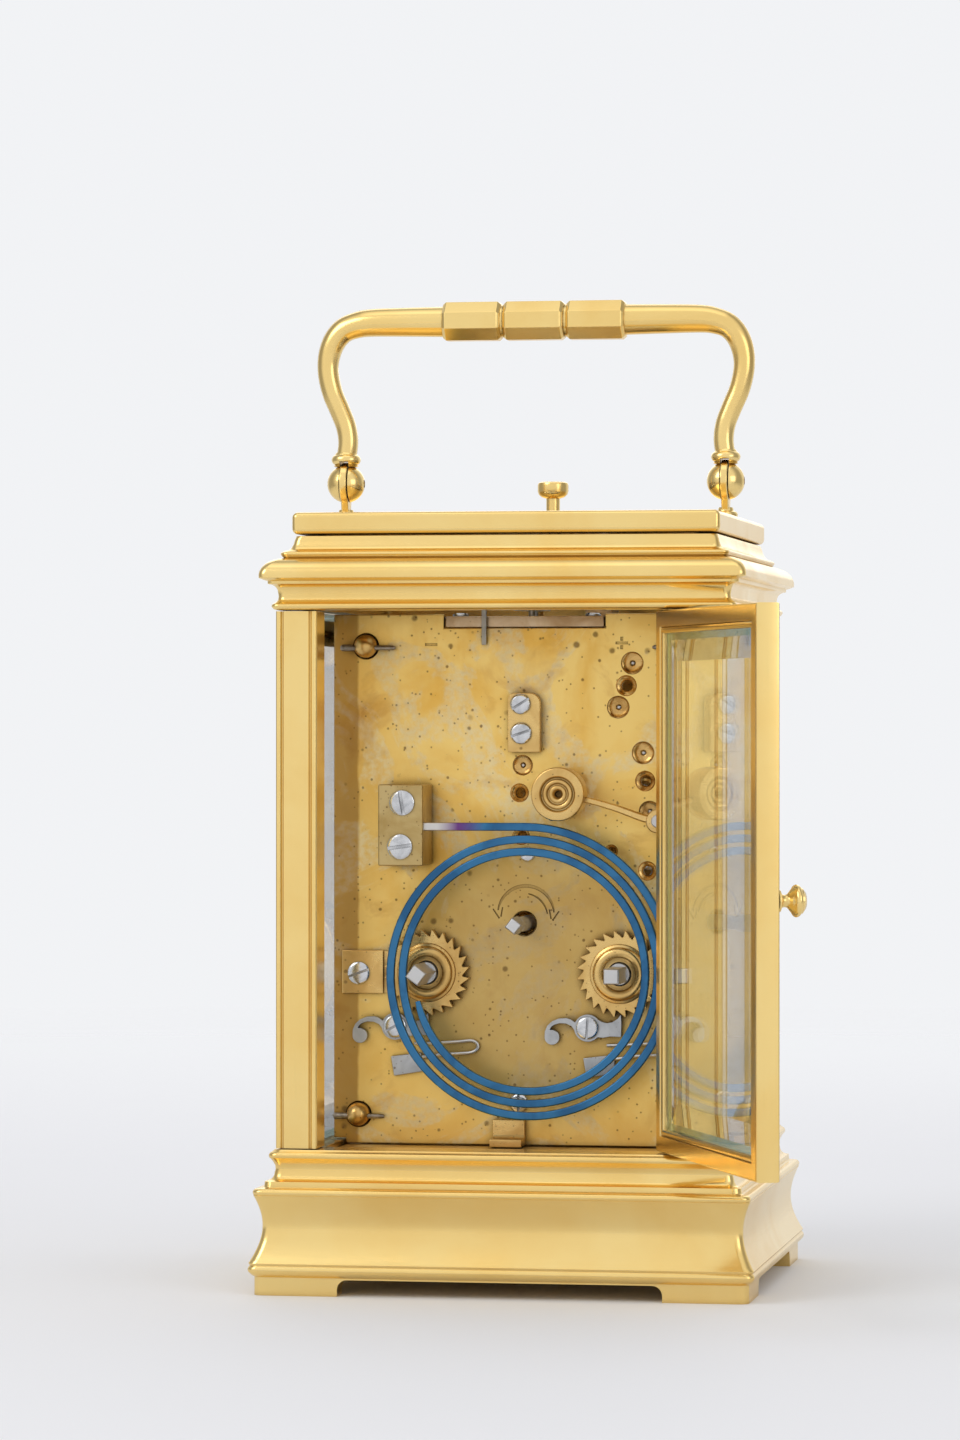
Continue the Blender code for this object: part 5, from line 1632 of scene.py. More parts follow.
    def fittings(self, face: float) -> None:
        """Models the bridge, the small cover, the bracket and their screws."""
        low, high = self.frame.low("centre_bridge"), self.frame.high("centre_bridge")
        seat = high.y
        left, right = low.x, high.x
        outline = [(left, low.z), (right, low.z), (right, high.z - 1.2),
                   *arc((right - 1.2, high.z - 1.2), 1.2, 0, 90, 6)]
        outline += [(left + 2.0, high.z), *arc((left + 2.0, high.z - 2.0), 2.0, 90, 180, 8)]
        bridge = Bench.slab("bridge", outline, Axis.Y, (low.y, seat), 0.22)
        self.add(bridge, "movement_brass", Finish.FITTING, "centre_bridge")
        screws = [cheese_screw("bridge_screw_upper", Vector((0.3, seat, 103.5)), 1.85, 0.75, -148.0),
                  cheese_screw("bridge_screw_lower", Vector((0.2, seat, 98.1)), 1.95, 0.75, -162.0)]
        cover = Bench.block("stop_cover", (26.3, 34.1), (face - 0.05, face + 0.95), (49.9, 57.9), 0.2)
        self.add(cover, "movement_brass", Finish.FITTING)
        tab = [(26.5, 57.8), (24.7, 57.7), (24.3, 56.6), (23.1, 55.9), (22.8, 53.9), (23.1, 51.9),
               (24.3, 51.2),
               (24.7, 50.1), (26.5, 50.0)]
        self.add(Bench.slab("stop_finger", tab, Axis.Y, (face - 0.05, face + 0.3), 0.08), "movement_brass",
                 Finish.FITTING)
        screws.append(cheese_screw("stop_cover_screw", Vector((30.9, face + 0.95, 53.7)), 2.05, 0.7, 20.0))
        screws.append(cheese_screw("lower_screw", Vector((1.0, face, 29.9)), 1.75, 0.8, 90.0))
        screws.append(cheese_screw("middle_screw", Vector((-0.6, face, 75.8)), 1.3, 0.6, 12.0))
        self.add(Bench.grouped("back_plate_screws", screws), "polished_steel", Finish.SCREW)
        low, high = self.frame.low("movement_bracket"), self.frame.high("movement_bracket")
        section = [(low.y, low.z), (high.y, low.z), (high.y, low.z + 1.4), (low.y + 2.1, low.z + 1.4),
                   (low.y + 1.6, low.z + 1.9), (low.y + 1.6, high.z), (low.y, high.z)]
        bracket = Bench.slab("hold_down_bracket", section, Axis.X, (low.x, high.x), 0.15)
        self.add(bracket, "movement_brass", Finish.FITTING, "movement_bracket")


@dataclass
class WindingWork(SubAssembly):
    """Winding squares, ratchet wheels, clicks and their springs, one set for each barrel."""

    ratchet_teeth: int = 24
    tip: float = 8.0
    depth: float = 1.25

    def build(self) -> None:
        """Models both sets."""
        for side, turn in (("going", 45.0), ("strike", 0.0)):
            self.arbor(side, turn)
            self.click(side)

    def arbor(self, side: str, turn: float) -> None:
        """Models one winding arbor and its ratchet wheel with a turned hub."""
        at = self.frame.pivot(f"{side}_winding_turn")
        body, centre = f"{side}_winding", (at.x, at.z)
        node = f"{side}_winding_arbor"
        start, stop = self.frame.low(node).y, self.frame.high(node).y
        face = self.frame.high("back_plate").y
        shape = [(1.3, start), (1.4, start + 1.0), (2.2, start + 1.0), (2.2, face + 1.2), (2.0, face + 1.5),
                 (2.0, face + 2.4),
                 (1.95, face + 2.9)]
        shaft = Bench.turned(f"{side}_arbor", shape, Axis.Y, centre, 32)
        tip = square_bar("square", 1.42, centre, (face + 1.0, stop), turn + 8.0 * (turn > 0))
        self.add(Bench.grouped(f"{side}_winding_square", [shaft, tip]), "polished_steel", Finish.STEEL, node,
                 body=body)
        low = face + 0.4
        start_angle = -math.pi / 2 + 0.4 * 2 * math.pi / self.ratchet_teeth
        teeth = toothed(Tooth.RATCHET, self.ratchet_teeth, self.tip, self.depth, (0.0, 0.0), start_angle)
        disc = Bench.slab("teeth", [(centre[0] + x, centre[1] + z) for x, z in teeth], Axis.Y,
                          (low, low + 1.5), 0.08, 1)
        hub = [(2.25, low + 0.2), (5.5, low + 0.2), (5.5, low + 1.5), (5.35, low + 1.75), (4.95, low + 1.9),
               *[(3.95 + 0.95 * math.cos(math.radians(a)), low + 1.9 + 0.75 * math.sin(math.radians(a)))
                 for a in range(15, 166, 15)],
               (3.0, low + 1.85), (2.6, low + 1.7), (2.25, low + 1.7)]
        bore = Bench.turned("bore", [(2.25, low - 1), (2.25, low + 3)], Axis.Y, centre, 32)
        Bench.cut(disc, bore)
        ring = Bench.turned("hub", hub, Axis.Y, centre, 56, ring=True)
        self.add(Bench.grouped(f"{side}_ratchet_wheel", [disc, ring]), "movement_brass", Finish.FITTING,
                 body=body)

    def click(self, side: str) -> None:
        """Models one click with its screw, spring plate and wire."""
        at = self.frame.pivot(f"{side}_click_lift")
        face = self.frame.high("back_plate").y
        low = face + 0.4
        tail = [(-2.35, 1.05), (-3.1, 1.55), (-3.9, 1.8), (-5.4, 1.7), (-6.6, 1.2), (-7.5, 0.35),
                (-7.95, -0.7)]
        ball = arc((-6.62, -1.75), 1.38, 175, 405, 18)
        inner = [(-6.4, -0.42), (-7.05, -0.35), (-6.75, 0.15), (-6.2, 0.55), (-5.2, 0.85), (-4.0, 0.8),
                 (-3.0, 0.35),
                 (-2.5, -0.3)]
        lower = arc((0.0, 0.0), 2.5, 190, 318, 12)
        head = [(2.9, -1.75), (4.2, -1.5), (6.2, -1.6), (6.3, 0.4), (6.2, 2.55), (5.6, 1.75), (4.6, 1.1),
                (3.6, 0.95),
                (2.7, 1.15)]
        upper = arc((0.0, 0.0), 2.5, 38, 156, 12)
        points = tail + ball + inner + lower + head + upper
        outline = [(at.x - x, at.z + z) for x, z in points]
        pawl = Bench.slab(f"{side}_pawl", outline, Axis.Y, (low, low + 1.1), 0.1)
        body = f"{side}_click"
        self.add(pawl, "polished_steel", Finish.GREY_STEEL, f"{side}_click", body=body)
        turn = 28.0 if side == "going" else 86.0
        screw = cheese_screw(f"{side}_click_screw", Vector((at.x, low + 1.1, at.z)), 2.05, 0.7, turn)
        self.add(screw, "polished_steel", Finish.SCREW, body=body)
        self.spring(side, face)

    def spring(self, side: str, face: float) -> None:
        """Models one flat spring foot and the wire loop that presses on the click."""
        x = self.frame.pivot(f"{side}_winding_turn").x
        z = self.frame.pivot(f"{side}_winding_turn").z
        foot = [(x + 6.9, z - 15.6), (x + 1.2, z - 14.9), (x + 0.9, z - 18.3), (x + 6.3, z - 19.2)]
        plate = Bench.slab("foot", foot, Axis.Y, (face + 0.02, face + 0.85), 0.12)
        points = [(x + 2.0, z - 15.8), (x - 1.0, z - 15.4), (x - 3.0, z - 15.1), (x - 6.0, z - 14.95),
                  (x - 8.3, z - 14.7)]
        points += [(x - 9.35, z - 14.0), (x - 9.3, z - 13.1), (x - 8.2, z - 12.55), (x - 6.0, z - 12.75)]
        points += [(x - 3.0, z - 12.95), (x - 0.5, z - 13.1), (x + 2.5, z - 13.2)]
        line = eased(points, 5)
        wire = Bench.swept("wire", [Vector((a, face + 0.75, b)) for a, b in line], [0.3] * len(line), 12)
        self.add(plate, "polished_steel", Finish.GREY_STEEL)
        self.add(wire, "polished_steel", Finish.STEEL, f"{side}_click_spring")
        plate.name, wire.name = f"{side}_spring_foot", f"{side}_spring_wire"


@dataclass
class Trains(SubAssembly):
    """Barrels, wheels and pinions between the plates."""

    def arbor(self, name: str, centre: Point, radius: float, span: Span) -> bpy.types.Object:
        """A plain arbor with a thinner pivot at each end."""
        thin, (low, high) = radius * 0.6, span
        shape = [(thin * 0.8, low), (thin, low + 0.2), (thin, low + 0.9), (radius, low + 1.1),
                 (radius, high - 1.1)]
        return Bench.turned(name, [*shape, (thin, high - 0.9), (thin, high - 0.2), (thin * 0.8, high)],
                            Axis.Y, centre, 20)

    def pinion(self, leaves: int, tip: float, centre: Point, span: Span) -> bpy.types.Object:
        """A pinion cut from the solid."""
        return Bench.slab("pinion", toothed(Tooth.LEAF, leaves, tip, tip * 0.3, centre), Axis.Y, span, 0.04,
                          1)

    def collet(self, centre: Point, radius: float, span: Span) -> bpy.types.Object:
        """The turned seat that a wheel is riveted to."""
        low, high = span
        return Bench.turned("collet", [(radius, low), (radius, high - 0.4), (radius - 0.4, high)], Axis.Y,
                            centre, 28)

    def build(self) -> None:
        """Models every moving part between the plates."""
        front = self.frame.high("front_plate").y + 0.2
        rear = self.frame.low("back_plate").y - 0.2
        for side in ("going", "strike"):
            self.barrel(side)
        self.centre()
        steel, brass = ("polished_steel", Finish.STEEL), ("movement_brass", Finish.WHEEL)
        at = self.frame.middle("third_wheel")
        third = (5.0, 82.36) if abs(at.x - 5.0) < 1.0 else (at.x, at.z)
        self.add(Bench.grouped("third_arbor", [self.arbor("arbor", third, 0.85, (front, rear)),
                 self.pinion(10, 2.6, third, (-18.0, -15.8))]), *steel, "third_wheel", body="third_wheel")
        wheel = Wheel(75, self.half("third_wheel"), 1.0, third, (-21.4, -20.2))
        self.add(Bench.grouped("third_wheel_crossed",
                               [wheel.build("wheel"), self.collet(third, 2.0, (-20.3, -19.2))]),
                 *brass, body="third_wheel")
        self.contrate(front, rear, steel, brass)
        for node, at, teeth, depth, span, leaves, leaf, leaf_span in (
                ("strike_pin_wheel", (-22.0, 73.67), 80, 1.0, (-19.6, -18.6), 12, 3.2, (-14.4, -11.2)),
                ("strike_warning_wheel", (-19.0, 87.55), 63, 0.8, (-14.0, -13.0), 10, 1.7, (-20.1, -18.1))):
            self.add(Bench.grouped(f"{node}_arbor", [self.arbor("arbor", at, 0.9, (front, rear)),
                     self.pinion(leaves, leaf, at, leaf_span)]), *steel, node, body=node)
            wheel = Wheel(teeth, self.half(node), depth, at, span, 5, 2.4, 1.4)
            parts = [wheel.build("wheel"), self.collet(at, 2.0, (span[1] - 0.1, span[1] + 1.1))]
            if node == "strike_pin_wheel":
                pin = Bench.turned("pin", [(0.4, span[1] - 0.1), (0.4, span[1] + 2.2)], Axis.Y,
                                   (at[0] + self.half(node) - 2.0, at[1]), 12)
                about = Vector((at[0], 0.0, at[1]))
                parts += [Bench.copied(pin, "pin", Vector(), math.pi / 4 * i, Axis.Y, about)
                          for i in range(8)]
                bpy.data.objects.remove(pin, do_unlink=True)
            self.add(Bench.grouped(f"{node}_crossed", parts), *brass, body=node)
        fly = (-15.5, 97.24)
        self.add(Bench.grouped("fly_arbor", [self.arbor("arbor", fly, 0.65, (front, rear)),
                 self.pinion(7, 1.05, fly, (-14.5, -12.5))]), *steel, "strike_fly", body="strike_fly")
        vane = Bench.block("vane", (fly[0] - 6.5, fly[0] + 6.5), (-5.0, 5.0), (fly[1] - 0.16, fly[1] + 0.16),
                           0.08)
        self.add(Bench.grouped("fly_vane", [vane, self.collet(fly, 1.1, (-5.4, 5.4))]), *brass,
                 body="strike_fly")

    def half(self, node: str) -> float:
        """Half the width of a wheel's box."""
        return (self.frame.high(node).z - self.frame.low(node).z) / 2

    def barrel(self, side: str) -> None:
        """Models one mainspring barrel with its snapped-on cover and teeth."""
        at = self.frame.middle(f"{side}_barrel")
        centre, node = (at.x, at.z), f"{side}_barrel"
        drum = [(2.6, -14.2), (11.0, -14.2), (11.4, -13.9), (14.9, -13.9), (15.3, -14.2), (15.8, -14.1),
                (16.0, -13.8),
                (16.0, -11.6), (15.75, -11.4), (15.75, 6.9), (16.0, 7.1), (16.0, 8.2), (15.7, 8.6),
                (14.6, 8.6),
                (14.4, 8.3), (10.4, 8.3), (10.2, 8.6), (5.2, 8.6), (5.0, 8.9), (2.6, 8.9)]
        drum = [(r, min(y, self.frame.high(node).y)) for r, y in drum]
        ring = Bench.turned("drum", drum, Axis.Y, centre, 72, ring=True)
        outline = toothed(Tooth.ROUND, 72, self.half(node), 1.1, centre)
        teeth = Bench.slab("teeth", outline, Axis.Y, (-13.6, -12.0))
        Bench.cut(teeth, Bench.turned("bore", [(14.0, -20.0), (14.0, 20.0)], Axis.Y, centre, 48))
        self.add(Bench.grouped(f"{side}_spring_barrel", [ring, teeth]), "movement_brass", Finish.WHEEL, node,
                 body=node)

    def centre(self) -> None:
        """Models the centre arbor, its wheel, its pinion and the hand-setting square."""
        at = self.frame.pivot("centre_turn")
        centre = (at.x, at.z)
        low, high = self.frame.low("centre_arbor"), self.frame.high("centre_arbor")
        shape = [(0.75, low.y), (0.95, low.y + 0.3), (0.95, -28.7), (1.6, -28.6), (1.6, -23.0), (1.4, -22.8),
                 (1.4, 15.0),
                 (1.2, 15.8), (1.2, 19.4)]
        parts = [Bench.turned("arbor", shape, Axis.Y, centre, 28),
                 self.pinion(12, 3.0, centre, (-14.4, -11.2)),
                 square_bar("square", 1.15, centre, (18.6, high.y), 52.0),
                 self.pinion(12, 2.9, centre, (-28.6, -26.6))]
        self.add(Bench.grouped("hand_setting_arbor", parts), "polished_steel", Finish.STEEL, "centre_arbor",
                 body="centre")
        wheel = Wheel(80, (high.z - low.z) / 2, 1.0, centre, (-17.6, -16.2), 5, 2.8, 1.6)
        self.add(Bench.grouped("centre_wheel_crossed",
                               [wheel.build("wheel"), self.collet(centre, 2.4, (-16.3, -15.0))]),
                 "movement_brass", Finish.WHEEL, body="centre")

    def contrate(self, front: float, rear: float, steel: tuple, brass: tuple) -> None:
        """Models the contrate wheel, whose teeth stand up from its rim."""
        at, rim = (0.0, 102.96), self.half("contrate_wheel")
        self.add(Bench.grouped("contrate_arbor", [self.arbor("arbor", at, 0.85, (front, rear)),
                 self.pinion(10, 1.75, at, (-21.9, -19.6))]), *steel, "contrate_wheel", body="contrate_wheel")
        blank = Wheel(48, rim - 0.02, 0.02, at, (-0.3, 0.8), 4, 2.0, 1.2, Tooth.LEAF).build("web")
        wall = Bench.turned("wall", [(rim - 1.1, 0.2), (rim, 0.2), (rim, 1.4), (rim - 1.1, 1.4)], Axis.Y, at,
                            64, ring=True)
        tooth = Bench.slab("tooth", [(at[0] + rim - 1.08, 1.3), (at[0] + rim - 0.02, 1.3),
                                     (at[0] + rim - 0.02, 2.2),
                                     (at[0] + rim - 1.08, 2.2)], Axis.Z, (at[1] - 0.2, at[1] + 0.2), 0.1, 1)
        about = Vector((at[0], 0.0, at[1]))
        teeth = [Bench.copied(tooth, "tooth", Vector(), 2 * math.pi * i / 48, Axis.Y, about)
                 for i in range(1, 48)]
        parts = [blank, wall, tooth, *teeth, self.collet(at, 1.9, (0.7, 2.0))]
        self.add(Bench.grouped("contrate_wheel_crossed", parts), *brass, body="contrate_wheel")


@dataclass
class StrikeWork(SubAssembly):
    """Gong, its block and the hammer."""

    centre: Point = (-1.87, 54.0)
    radius: float = 27.0
    pitch: float = 2.27
    turns: float = 2.71

    def build(self) -> None:
        """Models the gong, the block with its screws, and the hammer."""
        block_low, block_high = self.frame.low("gong_block"), self.frame.high("gong_block")
        y = (self.frame.low("gong").y + self.frame.high("gong").y) / 2
        lead_z = self.centre[1] + self.radius
        route = [Vector((block_low.x + 1.2, y, lead_z)), Vector((block_low.x - 1.5, y, lead_z)),
                 Vector((9.0, y, lead_z))]
        route += [Vector((9.0 - 1.2 * i, y, lead_z)) for i in range(1, 9)]
        steps = 90
        for i in range(round(self.turns * steps) + 1):
            turn = i / steps
            reach, angle = self.radius - self.pitch * turn, 2 * math.pi * turn
            route.append(Vector((self.centre[0] - reach * math.sin(angle), y,
                                 self.centre[1] + reach * math.cos(angle))))
        half, rise, corner = 0.66, 0.74, 0.26
        section = []
        for a, b, first in ((1, 1, 0), (-1, 1, 90), (-1, -1, 180), (1, -1, 270)):
            section += arc((a * (half - corner), b * (rise - corner)), corner, first, first + 90, 4)
        scale = [1.0] * (len(route) - 6) + [1.0, 0.98, 0.95, 0.9, 0.8, 0.62]
        wire = Bench.swept("gong_wire", route, scale, section=section)
        self.add(wire, "blued_steel", Finish.GONG, "gong")
        block = Bench.block("gong_stand", (block_low.x, block_high.x), (block_low.y, block_high.y),
                            (block_low.z, block_high.z), 0.3, 3)
        self.add(block, "movement_brass", Finish.BLOCK, "gong_block")
        seat = block_high.y
        screws = [cheese_screw("upper", Vector((21.0, seat, 85.35)), 2.3, 0.75, -80.0, slot=0.7),
                  cheese_screw("lower", Vector((21.4, seat, 77.3)), 2.3, 0.75, -172.0, slot=0.7)]
        self.add(Bench.grouped("gong_stand_screws", screws), "polished_steel", Finish.SCREW)
        self.hammer()

    def hammer(self) -> None:
        """Models the hammer's post, arm, turned head and striking pad."""
        at = self.frame.pivot("hammer_lift")
        head = (-7.9, 87.0)
        low, high = self.frame.low("hammer").y, self.frame.high("hammer").y
        face = self.frame.high("back_plate").y
        post = [(0.9, low), (1.1, low + 0.3), (1.1, face + 0.5), (2.4, face + 0.6), (2.4, face + 2.6),
                (2.1, face + 3.0),
                (1.3, face + 3.1), (1.3, 21.7), (1.0, 22.0)]
        self.add(Bench.turned("hammer_post", post, Axis.Y, (at.x, at.z), 28), "polished_steel", Finish.STEEL,
                 "hammer",
                 body="hammer")
        rise = Vector((head[0] - at.x, head[1] - at.z))
        reach, angle = rise.length, math.atan2(rise.y, rise.x)
        route = [(0.0, 0.0), (3.0, -0.15), (8.0, 0.25), (13.0, 0.3), (reach - 4.0, 0.0)]
        line = [(at.x + a * math.cos(angle) - b * math.sin(angle),
                 at.z + a * math.sin(angle) + b * math.cos(angle))
                for a, b in eased(route, 6)]
        wide = [0.8 - 0.3 * i / (len(line) - 1) for i in range(len(line))]
        section = [(1.0, -0.6), (1.0, 0.6), (0.25, 1.0), (-0.9, 0.6), (-0.9, -0.6), (0.25, -1.0)]
        arm = Bench.swept("arm", [Vector((x, 21.0, z)) for x, z in line], wide, section=section)
        eye = Bench.turned("eye", [(2.0, 20.1), (2.2, 20.3), (2.2, 21.6), (2.0, 21.8)], Axis.Y, (at.x, at.z),
                           32)
        rings = [(4.5, high - 5.2), (4.9, high - 4.8), (4.9, high - 0.45), (4.75, high - 0.15),
                 (4.5, high - 0.02)]
        rings += [(3.35, high), (3.2, high - 0.12), (3.0, high - 0.55), (2.75, high - 0.6)]
        rings += [(2.35 + 0.42 * math.cos(math.radians(a)), high - 0.6 + 0.42 * math.sin(math.radians(a)))
                  for a in range(20, 161, 20)]
        rings += [(1.85, high - 0.62), (1.65, high - 0.62)]
        rings += [(1.25 + 0.4 * math.cos(math.radians(a)), high - 0.62 + 0.34 * math.sin(math.radians(a)))
                  for a in range(20, 161, 20)]
        rings += [(0.62, high - 0.8), (0.55, high - 2.4)]
        disc = Bench.turned("head", rings, Axis.Y, head, 64)
        self.add(Bench.grouped("hammer_head_and_arm", [arm, eye, disc]), "movement_brass", Finish.FITTING,
                 body="hammer")
        pad = [(0.9, 82.1), (1.1, 82.3), (1.2, 82.9), (1.2, 84.5)]
        self.add(Bench.turned("striking_pad", pad, Axis.Z, (head[0] + 0.8, 21.0), 24), "polished_steel",
                 Finish.GREY_STEEL, body="hammer")


@dataclass
class Platform(SubAssembly):
    """Lever platform with its balance, cock and regulator."""

    def build(self) -> None:
        """Models the platform and what stands on it."""
        low, high = self.frame.low("platform_plate"), self.frame.high("platform_plate")
        staff, escape = self.frame.pivot("balance_swing"), self.frame.middle("escape_wheel")
        plate = Bench.block("platform_block", *Frame.spans(low, high), 0.2)
        hole = Bench.turned("hole", [(1.6, low.z - 1), (1.6, high.z + 1)], Axis.Z, (0.0, escape.y), 28)
        Bench.cut(plate, hole)
        self.add(plate, "movement_brass", Finish.PLATFORM, "platform_plate")
        screws = [cheese_screw("corner", Vector((x, y, high.z)), 1.5, 0.7, 25.0 * x + y, Axis.Z)
                  for x, y in ((-12.4, -22.6), (12.4, -22.6), (-12.4, 9.2), (12.4, 9.2))]
        self.add(Bench.grouped("platform_screws", screws), "polished_steel", Finish.SCREW)
        self.escapement(escape, high.z)
        self.balance(staff)
        self.cock(staff)
        self.regulator(staff)

    def escapement(self, escape: Vector, top: float) -> None:
        """Models the escape wheel and the lever."""
        at = (0.0, escape.y)
        low, high = self.frame.low("escape_wheel").z, self.frame.high("escape_wheel").z
        shape = [(0.3, low), (0.5, low + 0.6), (0.5, low + 1.8), (0.6, 113.4), (0.6, 123.3), (0.3, 123.6),
                 (0.3, high)]
        arbor = Bench.turned("arbor", shape, Axis.Z, at, 20)
        leaves = Bench.slab("leaves", toothed(Tooth.LEAF, 8, 1.05, 0.35, at), Axis.Z, (108.2, 113.4))
        teeth = Bench.slab("teeth", toothed(Tooth.CLUB, 15, 3.4, 0.9, at), Axis.Z, (120.9, 121.5))
        self.add(Bench.grouped("escape_wheel_and_pinion", [arbor, leaves, teeth]), "polished_steel",
                 Finish.STEEL,
                 "escape_wheel", body="escape_wheel")
        pallet = self.frame.pivot("pallet_swing")
        lever = [(-2.7, -0.5), (-0.5, -0.7), (-0.35, -3.6), (-0.6, -4.6), (0.6, -4.6), (0.35, -3.6),
                 (0.5, -0.7),
                 (2.7, -0.5), (2.7, 0.6), (1.9, 0.7), (0.0, 0.45), (-1.9, 0.7), (-2.7, 0.6)]
        fork = Bench.slab("fork", [(x, pallet.y + y) for x, y in lever], Axis.Z, (120.9, 121.5), 0.08, 1)
        post = Bench.turned("post", [(0.3, top + 0.2), (0.45, top + 0.4), (0.45, 122.6), (0.3, 122.8)],
                            Axis.Z,
                            (0.0, pallet.y), 16)
        self.add(Bench.grouped("pallet_lever_and_arbor", [fork, post]), "polished_steel", Finish.STEEL,
                 "pallet_lever",
                 body="pallet_lever")

    def balance(self, staff: Vector) -> None:
        """Models the balance, its rim screws and the balance spring."""
        low, high = self.frame.low("balance_wheel").z, self.frame.high("balance_wheel").z
        at = (staff.x, staff.y)
        shape = [(0.3, low), (0.55, 120.6), (0.55, 123.8), (1.3, 124.0), (1.3, 125.5), (0.55, 125.7),
                 (0.55, 127.9),
                 (0.3, 128.1), (0.2, high)]
        arbor = Bench.turned("staff", shape, Axis.Z, at, 24)
        rim = Bench.turned("rim", [(6.4, 124.2), (7.4, 124.2), (7.4, 125.4), (6.4, 125.4)], Axis.Z, at, 72,
                           ring=True)
        Bench.rounded(rim, 0.1)
        about = Vector((at[0], at[1], 0.0))
        spoke = Bench.slab("spoke", [(at[0] - 0.45, at[1]), (at[0] - 0.35, at[1] + 6.8),
                                     (at[0] + 0.35, at[1] + 6.8),
                                     (at[0] + 0.45, at[1])], Axis.Z, (124.45, 125.1), 0.08, 1)
        spokes = [spoke] + [Bench.copied(spoke, "spoke", Vector(), math.radians(120 * i), Axis.Z, about)
                            for i in (1, 2)]
        self.add(Bench.grouped("balance_rim_and_staff", [arbor, rim, *spokes]), "movement_brass",
                 Finish.WHEEL,
                 "balance_wheel", body="balance")
        screw = Bench.turned("screw", [(0.25, 7.3), (0.25, 7.55), (0.45, 7.6), (0.45, 8.05), (0.3, 8.15)],
                             Axis.X,
                             (at[1], 124.8), 14)
        screws = [Bench.copied(screw, "screw", Vector(), math.radians(15 + 30 * i), Axis.Z, about)
                  for i in range(12)]
        bpy.data.objects.remove(screw, do_unlink=True)
        self.add(Bench.grouped("balance_screws", screws), "polished_steel", Finish.STEEL, body="balance")
        turns, steps = 7, 40
        coil = []
        for i in range(turns * steps + 1):
            reach, angle = 1.2 + 3.2 * i / (turns * steps), 2 * math.pi * i / steps
            coil.append(Vector((at[0] + reach * math.cos(angle), at[1] + reach * math.sin(angle), 126.7)))
        spring = Bench.swept("balance_spring", coil, [1.0] * len(coil),
                             section=[(0.05, 0.16), (-0.05, 0.16), (-0.05, -0.16), (0.05, -0.16)])
        self.add(spring, "blued_steel", Finish.BLUE, body="balance")

    def cock(self, staff: Vector) -> None:
        """Models the balance cock with its jewel and screw."""
        low, high = self.frame.low("balance_cock"), self.frame.high("balance_cock")
        foot = Bench.block("foot", (low.x, low.x + 5.0), (low.y, low.y + 8.8), (low.z, high.z), 0.2)
        outline = [(low.x + 4.0, low.y + 0.6),
                   *eased([(low.x + 6.5, staff.y - 3.2), (staff.x - 4.5, staff.y - 2.3)], 3)]
        outline += arc((staff.x, staff.y), 2.6, -100, 100, 16)
        outline += [(staff.x - 4.5, staff.y + 2.3), (low.x + 6.5, staff.y + 3.2), (low.x + 4.0, low.y + 8.2)]
        arm = Bench.slab("arm", outline, Axis.Z, (high.z - 1.5, high.z), 0.15)
        self.add(Bench.fused(foot, arm), "movement_brass", Finish.PLATFORM, "balance_cock")
        foot.name = "cock"
        jewel = Bench.turned("balance_jewel",
                             [(0.95, high.z - 1.7), (0.95, high.z + 0.05), (0.7, high.z + 0.18),
                                               (0.2, high.z + 0.1)], Axis.Z, (staff.x, staff.y), 32)
        self.add(jewel, "polished_steel", Finish.RUBY)
        screw = cheese_screw("cock_screw", Vector((low.x + 2.2, low.y + 4.4, high.z)), 1.5, 0.7, 62.0, Axis.Z)
        self.add(screw, "polished_steel", Finish.SCREW)

    def regulator(self, staff: Vector) -> None:
        """Models the regulator ring, its long pointer and the tail over the back plate."""
        low, high = self.frame.low("regulator_index"), self.frame.high("regulator_index")
        turn, reach = math.radians(20.5), 21.1
        ring = Bench.turned("ring", [(1.15, high.z - 0.7), (2.4, high.z - 0.7), (2.4, high.z),
                                     (1.15, high.z)], Axis.Z,
                            (staff.x, staff.y), 40, ring=True)
        Bench.rounded(ring, 0.1)
        way, side = Vector((math.sin(turn), math.cos(turn))), Vector((math.cos(turn), -math.sin(turn)))
        base = Vector((staff.x, staff.y))
        points = [(1.9, 0.7), (8.0, 0.42), (reach - 0.25, 0.42)]
        ends = [base + way * a + side * b for a, b in points] + [base + way * a - side * b for a,
                                                                 b in reversed(points)]
        pointer = Bench.slab("pointer", [tuple(p) for p in ends], Axis.Z, (high.z - 0.6, high.z - 0.1), 0.1,
                             1)
        tail = [base + way * (reach + a) + side * b for a,
                b in ((-0.26, -0.45), (-0.26, 0.45), (0.24, 0.45), (0.24, -0.45))]
        drop = Bench.slab("drop", [tuple(p) for p in tail], Axis.Z, (low.z, high.z - 0.12), 0.08, 1)
        self.add(Bench.grouped("regulator_pointer", [ring, pointer, drop]), "polished_steel",
                 Finish.GREY_STEEL,
                 "regulator_index", body="regulator")


